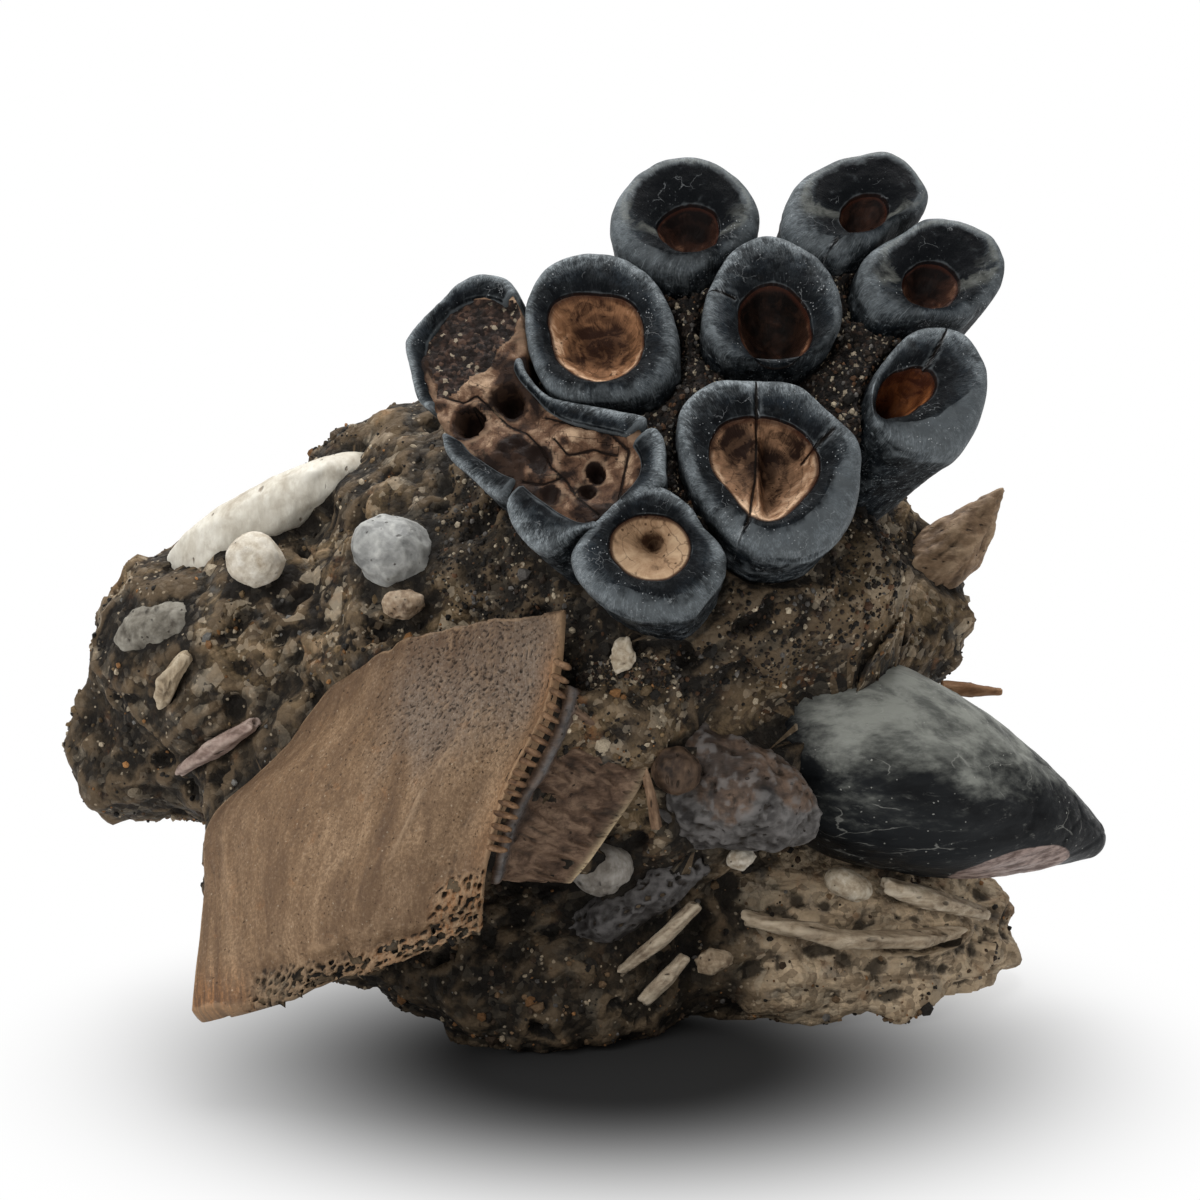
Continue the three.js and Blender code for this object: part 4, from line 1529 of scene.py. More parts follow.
@dataclass
class SinglePillar:
    """One enamel pillar with its worn dentine cup. Sizes are in the tooth's own millimetres.

    The rim and the cup are radii at even turns, from the right anticlockwise. The edge is how far the
    rim is rounded, and the dip how far the face falls towards the cup. A roll rounds one side further,
    and a breach wears one side down: each is an angle, half its width in degrees, and millimetres.
    Blotch, bloom and shade say how strongly its finishes darken it, lay a slate bloom with a painted
    highlight on its rims, and paint shade into its cup.
    """

    node: str
    at: Point3
    rim: Sequence[float]
    cup_at: Point2
    cup: Sequence[float]
    depth: float
    dentine: DentineFinish
    shape: Cup = Cup.BOWL
    edge: float = 1.7
    dip: float = 0.8
    roll: Point3 = (0.0, 1.0, 0.0)
    breach: Point3 = (0.0, 1.0, 0.0)
    blotch: float = 0.0
    bloom: float = 1.0
    shade: float = 0.6
    cracks: Lines = ()
    around: int = 180
    seed: int = 0
    rings: Sequence[int] = (44, 9, 34, 3, 26)
    pit_at: Point2 = (0.1, 1.5)
    lip_width: float = 0.22
    lip_drop: float = 0.42

    def outline(self, angle: Array) -> Array:
        """The pillar's side at angles, in the plane of its face.

        Args:
            angle: angles in radians, shape (n,).

        Returns:
            Points, shape (n, 2).
        """
        circle = columns(np.cos(angle), np.sin(angle))
        probe = columns(circle * 6, self.seed * 3.7)
        radius = read_ring(self.rim, angle) + 0.3 * fractal(probe, 3.4, 3, self.seed)
        return self.at[:2] + circle * radius[:, None]

    def lip(self, angle: Array) -> Array:
        """The edge between enamel and dentine at angles, in the plane of the face.

        Args:
            angle: angles in radians, shape (n,).

        Returns:
            Points, shape (n, 2).
        """
        circle = columns(np.cos(angle), np.sin(angle))
        probe = columns(circle * 4, self.seed * 5.1)
        radius = read_ring(self.cup, angle) + 0.16 * fractal(probe, 2.2, 3, self.seed + 5)
        return self.cup_at + circle * radius[:, None]

    def floor(self, place: Array, share: Array) -> Array:
        """The height of the dentine at places, for a share of the cup's radius.

        Args:
            place: points in the face's plane, shape (n, 2).
            share: how far each is from the middle to the lip, from 0 to 1.

        Returns:
            The heights, shape (n,).
        """
        bowl = 0.62 * self.depth
        bump = columns(place, self.seed * 2.3)
        uneven = 0.3 * fractal(bump, 3.2, 3, self.seed + 9) + 0.1 * fractal(bump, 0.9, 3, self.seed + 12)
        if self.shape is Cup.PIT:
            off = lengths((place - self.cup_at - self.pit_at) * [1.0, 0.85])
            return -1.1 * (1 - share**2.2) - 3.4 * np.exp(-((off / 1.35) ** 1.4)) + 0.6 * uneven
        if self.shape is Cup.SPLIT:
            off = place[:, 0] - self.cup_at[0]
            right = ease(off, -0.9, 0.7)
            ridge = hump(off + 0.7, 0.5) * ease(1 - share, 0.0, 0.5)
            return -(1 - share**3.2) * (bowl * 0.55 + right * bowl * 0.75) + 0.9 * ridge + uneven
        if self.shape is Cup.TUNNEL:
            return -(bowl + 2.5) * (1 - share**1.7) + 0.8 * uneven
        return -bowl * (1 - share**2.4) + uneven

    def skin(self) -> Mesh:
        """Wraps a grid into the pillar, from its root up its side, over its face and into its cup.

        Returns:
            The closed mesh.
        """
        mesh, turn, run = flat_grid(self.node, self.around, sum(self.rings))
        side, edge, face, lip, bowl = stages(run, self.rings)
        angle = turn * 2 * math.pi
        degrees = np.degrees(angle)
        outer, inner = self.outline(angle), self.lip(angle)
        wide = lengths(inner - outer)
        radius = self.edge * (1 + 0.2 * smooth_noise(columns(outer, 0.0), 4, self.seed))
        radius = radius + self.roll[2] * window(degrees, self.roll[0], self.roll[1])
        radius = np.minimum(radius, 0.72 * wide)
        inset = radius * (1 - np.cos(edge * math.pi / 2))
        inset = inset + (wide - radius - self.lip_width) * face + self.lip_width * lip
        way = (inner - outer) / wide[:, None]
        cup_share = 1 - bowl
        drawn = self.cup_at + (inner - self.cup_at) * (cup_share * 0.985)[:, None]
        place = np.where((bowl > 0)[:, None], drawn, outer + way * inset[:, None])
        height = -radius - (PILLAR_LENGTH - radius) * (1 - side) ** 1.5
        height = height + radius * np.sin(edge * math.pi / 2)
        height = height - self.dip * face**1.7 * ease(face, 0.1, 1.0) - self.lip_drop * lip
        lowered = self.breach[2] * window(degrees, self.breach[0], self.breach[1])
        height = height - lowered * ease(edge, 0, 1) * (0.55 + 0.45 * ease(face, 0, 1))
        height = np.where(bowl > 0, height + self.floor(place, cup_share), height) + self.at[2]
        points = columns(place, height)
        sideways = np.where(edge > 0, 0.0, 1.0) * ease(side, 0.0, 0.2)
        circle = columns(np.cos(angle), np.sin(angle), 0.0)
        tall = points * [1, 1, 0.45]
        swell = 0.5 * fractal(tall, 7, 3, self.seed + 2) + 0.14 * fractal(points, 1.7, 3, self.seed + 3)
        fade = ease(-height, 0.4, 4.0)
        points += circle * (sideways * swell * fade)[:, None]
        on_face = ease(edge, 0.2, 1.0) * (bowl == 0)
        wobble = 0.2 * fractal(points, 5.5, 3, self.seed + 4) + 0.06 * fractal(points, 1.1, 3, self.seed + 6)
        points[:, 2] += on_face * wobble
        crack = crack_side(points[:, :2], self.cracks)
        points[:, 2] -= 0.45 * hump(crack, 0.28) * ease(edge, 0.3, 1.0)
        band = np.where(edge > 0, inset / wide, (height - self.at[2] + radius) * 0.9)
        band = np.where(bowl > 0, 1.0 + bowl, band)
        # The side of the rims that gets more painted highlight: up and a little to the left.
        facing = 0.72 + 0.28 * np.cos(angle - math.radians(115))
        move_points(mesh, from_tooth(points))
        paint(mesh, "band", band)
        paint(mesh, "fibre", columns(np.cos(angle) * 9, np.sin(angle) * 9, inset * 0.26 + height * 0.1))
        paint(mesh, "crack", crack)
        paint(mesh, "blotch", self.blotch * (window(degrees, 90, 125) * ease(band, 0.08, 0.5)))
        # Painted highlight: the bloom is laid stronger where the rims face up.
        highlight_upward = ease(normals_of(mesh)[:, 2], 0.25, 0.95)
        paint(mesh, "bloom", self.bloom * facing * (0.62 + 0.6 * highlight_upward))
        deep = self.shade * (1 - cup_share**2) + 0.45 * window(degrees, 90, 110) * cup_share * (bowl > 0)
        if self.shape is Cup.PIT:
            deep = deep + 1.3 * hump(lengths(place - self.cup_at - self.pit_at), 1.2) * (bowl > 0)
        paint(mesh, "shade", deep)
        close_up(mesh)
        return mesh

    def build(self) -> Piece:
        """Builds the pillar and gives its enamel and its dentine their finishes.

        Returns:
            The piece.
        """
        mesh = self.skin()
        paint_hollows(mesh, 6)
        band = stored(mesh, "band")
        inner = [max(band[i] for i in face.vertices) > 1.001 for face in mesh.polygons]
        mesh.polygons.foreach_set("material_index", np.array(inner, np.int32))
        finishes = (ENAMEL, self.dentine.material())
        return shown(mesh, f"{self.node}_worn", Slot.ENAMEL, [self.node], *finishes)


ENAMEL = EnamelFinish().material()

TAN_DENTINE = DentineFinish(
    "dentine_tan", (0.9, 0.62, 0.41), (0.3, 0.15, 0.075), (0.028, 0.012, 0.007), 0.78)
CREAM_DENTINE = DentineFinish(
    "dentine_cream", (0.52, 0.37, 0.235), (0.36, 0.23, 0.135), (0.05, 0.025, 0.014), 0.95, 0.2, 0.6)
RED_DENTINE = DentineFinish(
    "dentine_red", (0.26, 0.13, 0.078), (0.04, 0.018, 0.012), (0.006, 0.0035, 0.003), 0.46, 0.05, 0.36)
DARK_DENTINE = DentineFinish(
    "dentine_dark", (0.36, 0.175, 0.095), (0.03, 0.014, 0.009), (0.004, 0.0025, 0.002), 0.42, 0.06, 0.36)
AMBER_DENTINE = DentineFinish(
    "dentine_amber", (0.42, 0.17, 0.06), (0.17, 0.06, 0.022), (0.035, 0.01, 0.005), 0.6, 0.04, 0.3)
SPLIT_DENTINE = DentineFinish(
    "dentine_split", (0.82, 0.58, 0.39), (0.31, 0.175, 0.1), (0.018, 0.009, 0.006), 0.7, 0.14)

SINGLE_PILLARS = (
    SinglePillar(
        "tooth_pillar_back_left", (10, 53.8, 0.5), (9.6, 9.2, 9, 8.8, 8.5, 8.6, 9.2, 10, 9.6, 9.4, 8.2, 9),
        (10.7, 50.6), (3.6, 3.9, 3.7, 3.5, 4, 3.6, 3.7, 3.8), 4, RED_DENTINE, edge=2.6, dip=0.5, blotch=1.0,
        bloom=0.8, shade=0.1, seed=1),
    SinglePillar(
        "tooth_pillar_back_right", (32.6, 55.9, 0), (8.8, 9.2, 9.2, 8, 7.6, 8, 9.6, 11, 9.4, 7.2, 5.8, 5.8),
        (32.7, 53.3), (2.9, 3.5, 2.9, 2.6, 2.9, 3.4, 2.9, 2.6), 3.5, RED_DENTINE, edge=2.6, dip=0.5,
        blotch=1.15, bloom=0.75, shade=0.1, cracks=(((26.8, 46.2), (29.2, 49.4)),), seed=2),
    SinglePillar(
        "tooth_pillar_right", (41.6, 45.4, 0), (8.7, 9.2, 8.8, 8, 7.2, 8, 9.6, 9.8, 8.4, 7, 7.6, 8.2),
        (40.4, 42.4), (3.5, 3.6, 3.7, 3.3, 3.5, 3.6, 3.6, 3.4), 4, RED_DENTINE, edge=2.4, dip=0.5,
        blotch=0.8, bloom=0.8, shade=0.1, seed=3),
    SinglePillar(
        "tooth_pillar_centre", (20.3, 40.4, 0.5), (8.9, 8.6, 9.2, 9.4, 8.4, 7.6, 8, 9.4, 9.6, 9.2, 9.6, 9.8),
        (20.8, 36.2), (4.5, 4.7, 6, 5.2, 4.4, 4.9, 6.4, 5.3), 7, DARK_DENTINE, edge=1.9, dip=0.4, bloom=0.85,
        shade=0.3, cracks=(((12.6, 26.6), (14.4, 29.4), (15.6, 31.4)), ((14.6, 29.6), (16.6, 29.8)),
                           ((11.2, 41.4), (13.6, 41.2), (16.2, 39.9))), seed=4),
    SinglePillar(
        "tooth_pillar_left", (-0.6, 35.8, 0.5),
        (9.5, 9.5, 10.7, 11.4, 11.4, 10.2, 9, 9.6, 10.8, 10, 10.6, 10.4),
        (-1, 34.7), (5.8, 6.2, 6, 7, 5.5, 5.8, 6.5, 6.4), 6, TAN_DENTINE, edge=1.7, dip=0.4, bloom=1.15,
        shade=0.75, around=200, seed=5),
    SinglePillar(
        "tooth_pillar_front", (5.5, 4.4, 0), (8.7, 7.4, 8.4, 9.8, 8.4, 8.4, 9.4, 9, 8.4, 8.4, 8.8, 8.8),
        (5.3, 5.3), (4.6, 4.6, 4.4, 4.7, 4.7, 4.2, 4.3, 4.6), 3, CREAM_DENTINE, Cup.PIT, edge=1.7, dip=0.3,
        roll=(270, 85, 1.2), bloom=1.2, shade=0.25, seed=6),
    SinglePillar(
        "tooth_pillar_front_right", (18.1, 19, 0.5),
        (12.6, 10.3, 10, 9.6, 10.5, 10.3, 9.2, 9.4, 10.8, 14.4, 15.5, 14.4),
        (19, 16.3), (6.4, 6.4, 6.6, 7.4, 6.3, 5.6, 7.6, 6.2), 6, SPLIT_DENTINE, Cup.SPLIT, edge=1.7, dip=0.4,
        roll=(300, 75, 6.5), bloom=1.1, shade=0.5,
        cracks=(((18.3, 28.6), (18.2, 24.5), (18.3, 21), (18.0, 15), (17.0, 9.4)),
                ((23.9, 17.8), (26.6, 20.5), (27.4, 21.4)), ((17.0, 9.4), (15.7, 6.2))), around=210, seed=7),
    SinglePillar(
        "tooth_pillar_far_right", (39.8, 28.3, -0.5),
        (7.5, 8.2, 9, 8.9, 7.1, 6.4, 6.8, 8.2, 9.2, 9, 9.4, 8.4),
        (36.5, 27), (3.5, 4.5, 3.4, 3.1, 2.8, 3.8, 3, 2.5), 6, AMBER_DENTINE, Cup.TUNNEL, edge=2.4, dip=0.4,
        roll=(285, 95, 3.2), breach=(190, 62, 2.6), bloom=1.0, shade=0.5,
        cracks=(((39.2, 30.4), (41.2, 34.2), (42.4, 36.8)),), seed=8),
)


# Points of a raised patch above this height are on its top.
TOP = -0.01


def raised_patch(name: str, outline: Array, spacing: float, walls: Sequence[float]) -> Mesh:
    """A flat patch of fine faces inside an outline, with walls down to a closed underside.

    Args:
        name: the mesh's name.
        outline: the closed outline, shape (k, 2).
        spacing: the size of a face.
        walls: the heights of the rings down its walls, below 0.

    Returns:
        The mesh, in the outline's own coordinates, its top at height 0.
    """
    low, high = outline.min(axis=0) - spacing, outline.max(axis=0) + spacing
    counts = np.ceil((high - low) / spacing).astype(int)
    mesh, x, y = flat_grid(name, int(counts[0]), int(counts[1]))
    place = low + columns(x, y) * (high - low)
    distance, nearest = line_distance(place, outline, closed=True)
    inside = within(outline, place)
    snap = distance < 0.55 * spacing
    place[snap] = nearest[snap]
    move_points(mesh, columns(place, 0.0))
    with editing(mesh) as bm:
        bm.verts.ensure_lookup_table()
        outside = [bm.verts[i] for i in np.flatnonzero(~inside & ~snap)]
        bmesh.ops.delete(bm, geom=outside, context="VERTS")
        bmesh.ops.dissolve_degenerate(bm, edges=bm.edges[:], dist=1e-6)
        loose = [vert for vert in bm.verts if not vert.link_faces]
        bmesh.ops.delete(bm, geom=loose, context="VERTS")
        border = [edge for edge in bm.edges if edge.is_boundary]
        for height in walls:
            grown = bmesh.ops.extrude_edge_only(bm, edges=border)["geom"]
            border = [item for item in grown if isinstance(item, bmesh.types.BMEdge) and item.is_boundary]
            for vert in {vert for edge in border for vert in edge.verts}:
                vert.co.z = height * MM
        bmesh.ops.holes_fill(bm, edges=border, sides=0)
        bmesh.ops.recalc_face_normals(bm, faces=bm.faces[:])
    return in_order(mesh)


@dataclass
class EnamelShard:
    """One piece of the double pillar's broken enamel wall, between an outer and an inner line.

    Its rings go up its outer side, round its edge, over its face and lip, down inside and back under.
    """

    outer: Sequence[Point2]
    inner: Sequence[Point2]
    top: float = 0.0
    edge: float = 1.1
    deep: float = 26.0
    along: int = 56
    seed: int = 0
    rings: Sequence[int] = (16, 6, 12, 4, 6, 4)

    def skin(self, name: str) -> Mesh:
        """Wraps a grid round the shard, its ends drawn in to points.

        Args:
            name: the mesh's name.

        Returns:
            The closed mesh.
        """
        mesh, over, run = flat_grid(name, sum(self.rings), self.along)
        side, edge, face, lip, inside, under = stages(over, self.rings)
        length = float(lengths(np.diff(self.outer, axis=0)).sum())
        share = 0.5 - 0.5 * np.cos(run * math.pi)
        share = 0.35 * share + 0.65 * run
        out, inn = (read_row(even_line(row, 24), share) for row in (self.outer, self.inner))
        wide = lengths(inn - out)
        way = (inn - out) / wide[:, None]
        radius = np.minimum(self.edge, 0.4 * wide)
        inset = radius * (1 - np.cos(edge * math.pi / 2)) + (wide - radius - 0.35) * face + 0.35 * lip
        inset = inset - wide * under
        height = -radius - (self.deep - radius) * (1 - side) ** 1.4 + radius * np.sin(edge * math.pi / 2)
        height = height - 0.35 * face**2 - 0.5 * lip - 5 * inside - (self.deep - 5.85) * under
        place = out + way * inset[:, None]
        end = np.minimum(share, 1 - share) * length
        draw = np.sqrt(np.clip(1 - (1 - np.clip(end / 0.7, 0, 1)) ** 2, 0, 1))
        centre = out + way * (wide / 2)[:, None]
        points = columns(centre + (place - centre) * draw[:, None], height - (1 - draw) * 0.6)
        tip = (run == 0) | (run == 1)
        points[tip] = columns(centre[tip], -8.0)
        points[:, 2] += self.top
        rough = 0.22 * fractal(points, 3.5, 3, self.seed) + 0.07 * fractal(points, 0.9, 3, self.seed + 3)
        points[:, 2] += rough * (height > -2)
        ripple = 0.35 * fractal(points * [1, 1, 0.4], 5, 3, self.seed + 5) * (1 - edge)
        points[:, :2] -= way * ripple[:, None]
        reach = np.where(edge > 0, np.clip(inset / wide, 0, 1) * 0.9, (height + radius) * 0.9)
        fibre = columns(share * length, points[:, 1] * 0.1, inset * 0.26 + height * 0.1)
        move_points(mesh, from_tooth(points))
        paint(mesh, "band", np.where(under + inside > 0, 0.9, reach))
        paint(mesh, "fibre", fibre)
        paint(mesh, "crack", np.full(len(points), NO_CRACK))
        paint(mesh, "blotch", np.zeros(len(points)))
        # The shard's slate bloom and painted highlight, even all along it.
        paint(mesh, "bloom", np.full(len(points), 1.05))
        close_up(mesh)
        paint_hollows(mesh, 5)
        return mesh


@dataclass
class DoublePillar:
    """Two pillars grown into each other at the left, their worn end broken.

    A body of brown dentine, its upper lobe filled with dark matrix, stands inside a wall of enamel
    that has broken into five shards.
    """

    node: str = "tooth_double_pillar"
    outline: Sequence[Point2] = (
        (-11.4, 41.1), (-14.8, 42.8), (-18.4, 41.3), (-21.6, 37.3), (-23.0, 33.5), (-22.2, 29.3),
        (-20.9, 25.6), (-20.2, 23.6), (-19.3, 21.6), (-17.6, 19.3), (-14.8, 15.9), (-12.2, 13.5),
        (-10.2, 11.3), (-7.9, 9.5), (-4.4, 7.9), (-1.2, 8.9), (1.6, 11.1), (5.1, 14.3), (5.6, 16.5),
        (4.8, 20.0), (3.8, 21.9), (0.4, 22.9), (-4.2, 24.1), (-7.4, 25.5), (-9.2, 28.3), (-9.6, 31.5),
        (-9.6, 34.5), (-10.2, 37.5))
    soil: Sequence[Point2] = (
        (-22.4, 34.8), (-19.6, 38.9), (-16.6, 40.4), (-12.6, 40.8), (-10.7, 38.6), (-11.6, 35.4),
        (-13.4, 33.6), (-14.6, 30.6), (-17.6, 28.6), (-18.8, 26.8), (-20.9, 26.3))
    holes: Sequence[tuple[float, float, float, float]] = (
        (-11.9, 26.0, 1.9, 4.2), (-16.2, 22.7, 1.7, 3.6), (-1.4, 16.2, 1.0, 2.2), (-2.3, 13.4, 0.8, 1.2),
        (-6.4, 12.4, 1.0, 0.6), (-8.0, 17.6, 1.5, 0.6))
    veins: Lines = (
        ((-19.6, 26.4), (-17.2, 25.6), (-15.6, 26.6), (-13.6, 24.6), (-11.9, 22.6), (-9.4, 21.2)),
        ((-9.4, 21.2), (-7.6, 19.0), (-6.4, 16.4), (-4.6, 14.6), (-3.4, 12.4), (-0.6, 9.8)),
        ((-7.4, 23.6), (-4.0, 22.4), (0.6, 21.4), (2.8, 19.0), (2.0, 15.4), (1.4, 11.4)),
        ((-9.8, 14.4), (-7.4, 14.0), (-5.4, 14.8)), ((-17.6, 22.0), (-15.8, 25.0), (-14.4, 23.2)),
        ((-6.2, 20.6), (-4.6, 18.4), (-1.6, 19.4), (1.4, 18.6)))
    shards: Sequence[EnamelShard] = (
        EnamelShard(
            ((-10.6, 41.6), (-12.3, 44.0), (-14.8, 44.6), (-16.4, 44.2), (-18.5, 42.7), (-21.2, 39.3),
             (-23.4, 36.3), (-24.4, 34.0), (-23.8, 30.7), (-23.1, 27.8), (-22.3, 25.6), (-21.0, 24.6)),
            ((-12.2, 39.6), (-13.4, 40.4), (-15.0, 40.7), (-16.6, 40.4), (-18.3, 39.4), (-20.0, 37.6),
             (-21.4, 35.4), (-22.0, 33.4), (-21.8, 30.8), (-21.4, 28.4), (-20.9, 26.4), (-20.2, 25.4)),
            top=-0.3, edge=1.3, along=96, seed=21),
        EnamelShard(
            ((-19.6, 21.2), (-18.8, 18.2), (-16.2, 15.0), (-13.5, 12.2), (-11.6, 11.7)),
            ((-17.2, 20.0), (-15.9, 18.2), (-13.9, 16.6), (-11.9, 15.2), (-10.3, 14.6)),
            top=0.3, edge=1.2, along=56, seed=22),
        EnamelShard(
            ((-11.6, 11.3), (-10.6, 7.8), (-8.4, 4.9), (-6.3, 4.9), (-3.2, 7.3), (-0.6, 8.2)),
            ((-9.9, 14.1), (-8.6, 12.7), (-7.0, 11.4), (-5.0, 9.8), (-2.7, 8.7), (-1.0, 9.1)),
            top=0.2, edge=1.3, along=64, seed=23),
        EnamelShard(
            ((5.9, 22.2), (7.1, 20.2), (7.3, 16.3), (6.7, 13.9), (1.6, 10.6)),
            ((3.2, 19.6), (4.1, 17.9), (4.3, 16.2), (3.7, 14.5), (1.6, 11.8)),
            top=0.2, edge=1.1, along=52, seed=24),
        EnamelShard(
            ((5.4, 22.8), (3.9, 23.6), (0.5, 24.4), (-4.0, 25.3), (-6.5, 26.0), (-8.4, 27.8), (-9.6, 30.0),
             (-10.2, 32.0)),
            ((3.0, 20.4), (1.4, 21.0), (-2.0, 21.9), (-4.6, 22.7), (-6.9, 24.3), (-8.4, 26.2), (-10.2, 28.4),
             (-11.2, 30.6)),
            top=0.1, edge=0.9, along=72, seed=25),
    )
    spacing: float = 0.36

    def relief(self, place: Array) -> tuple[Array, Array, Array]:
        """The worn surface at places: its height, how much is matrix, and how dark it is.

        Args:
            place: points in the face's plane, shape (n, 2).

        Returns:
            The three rows of numbers, each of shape (n,).
        """
        flat = columns(place, 3.3)
        upper = even_line(self.soil, 60, closed=True)
        inside = depth_inside(place, upper) + 0.9 * fractal(flat, 2.6, 3, 39)
        soil = ease(inside, -0.3, 0.3)
        height = -0.85 + 0.35 * fractal(flat, 4.5, 3, 31) + 0.12 * fractal(flat, 1.1, 3, 32)
        bowl = lengths((place - [-0.4, 16.4]) / [5.2, 5.4])
        height -= 1.5 * np.clip(1 - bowl**2, 0, 1) ** 0.8
        trough = lengths((place - [-10.8, 24.6]) / [4.4, 3.4])
        height -= 1.0 * np.clip(1 - trough**2, 0, 1)
        first, _, name = cells(flat, 1.1, 35)
        lumpy = -0.9 + 0.8 * (0.6 - first) * (0.4 + name) + 0.3 * fractal(flat, 2.4, 3, 36)
        height = height * (1 - soil) + (lumpy - 0.5) * soil
        dark = np.zeros(len(place))
        for x, y, radius, depth in self.holes:
            off = lengths((place - [x, y]) * [1.0, 0.82])
            off = off + 0.55 * fractal(flat, 2.2, 3, 37)
            height -= depth * (1 - ease(off, 0.62 * radius, radius))
            ring = (1 - ease(off, 0.95 * radius, 1.5 * radius)) * (0.45 + 0.7 * smooth_noise(flat, 1.3, 42))
            dark = np.maximum.reduce([dark, 1.8 * (1 - ease(off, 0.8 * radius, 1.05 * radius)), ring])
        crumbly = 1 - ease(lengths(place - [-10.9, 18.8]), 1.4, 2.9)
        height += crumbly * (0.5 - first) * 1.1
        dark = np.maximum(dark, crumbly * 0.8)
        stain = fractal(flat, 5.0, 4, 38, 0.6)
        dark = np.maximum(dark, 0.9 * ease(stain, 0.0, 0.5))
        return height, soil, dark

    def build(self) -> Piece:
        """Builds the dentine body and the shards round it, as one piece.

        Returns:
            The piece.
        """
        outline = even_line(self.outline, 150, closed=True)
        mesh = raised_patch(self.node, outline, self.spacing, (-3.2, -6, -10, -15, -21, -28, -36))
        points = points_of(mesh)
        place = points[:, :2].copy()
        height, soil, dark = self.relief(place)
        top = points[:, 2] > TOP
        points[top, 2] = height[top]
        rim_distance, _ = line_distance(place, outline, closed=True)
        vein = crack_side(place, self.veins)
        points[:, 2] -= np.where(top, 0.3 * hump(vein, 0.25), 0)
        sway = 0.5 * fractal(from_tooth(points), 5, 3, 41)
        off = place - place.mean(axis=0)
        outward = off / np.maximum(lengths(off), 1)[:, None]
        points[:, :2] += outward * (sway * ~top)[:, None]
        move_points(mesh, from_tooth(points))
        paint(mesh, "band", np.where(top, 1.12 + 0.05 * np.clip(rim_distance, 0, 9), 1.5))
        paint(mesh, "fibre", columns(place, points[:, 2] * 0.2))
        paint(mesh, "crack", np.where(top, vein, NO_CRACK))
        paint(mesh, "shade", dark + 0.25 * ease(rim_distance, 3.5, 0.5))
        paint(mesh, "soil", np.where(top, soil, 0))
        paint_hollows(mesh, 6)
        packed = (soil > 0.5) & top
        with editing(mesh) as bm:
            for face in bm.faces:
                face.material_index = 2 if packed[face.verts[0].index] else 1
            for k, shard in enumerate(self.shards):
                part = shard.skin(f"enamel_shard_{k}")
                bm.from_mesh(part)
                bpy.data.meshes.remove(part)
        veined = DentineFinish(
            "dentine_veined", (0.5, 0.345, 0.225), (0.13, 0.07, 0.042), (0.014, 0.008, 0.006), 0.6, 0.1)
        brown = SoilFinish(
            "packed_soil_brown", (0.01, 0.006, 0.0045), (0.058, 0.031, 0.021), (0.14, 0.072, 0.042))
        finishes = (ENAMEL, veined.material(), brown.material())
        return shown(mesh, f"{self.node}_worn", Slot.ENAMEL, [self.node], *finishes)


@dataclass(frozen=True)
class SoilFinish:
    """Dark granular matrix packed against the tooth, with pale and rusty grains."""

    name: str = "packed_soil"
    black: Colour = (0.0055, 0.0045, 0.004)
    brown: Colour = (0.024, 0.015, 0.01)
    rust: Colour = (0.06, 0.03, 0.016)
    cream: Colour = (0.42, 0.35, 0.25)

    def material(self) -> Material:
        """Builds the material.

        Returns:
            The material.
        """
        s = Surface(self.name, 0.85, 0.3)
        place = s.place()
        patches = s.noise(place, 620, 6, 0.66, 0.6)
        s.colour = self.black
        s.tint(self.brown, s.step(patches, 0.42, 0.66))
        grains = s.use("grains", place, 1900)
        number = grains.outputs["Grain"]
        s.tint(self.rust, s.step(number, 0.7, 0.9, (0, 0.5)))
        s.tint(self.cream, s.step(number, 0.93, 0.97, (0, 0.8)))
        s.tint(self.black, s.step(number, 0.3, 0.1, (0, 0.7)))
        pale = s.mask("specks", place, 900, 0.12, 0.3)
        s.tint(self.cream, pale, 0.6)
        # Dirt and painted shade darken the hollows.
        dirt, _ = s.dust(place, 0.2, 900)
        s.tint(self.black, dirt, 0.85)
        relief = s.times(patches, 0.8, grains.outputs["Height"])
        return s.finish(relief, 0.22, s.step(number, 0, 1, (0.9, 0.6)))


SOIL = SoilFinish().material()


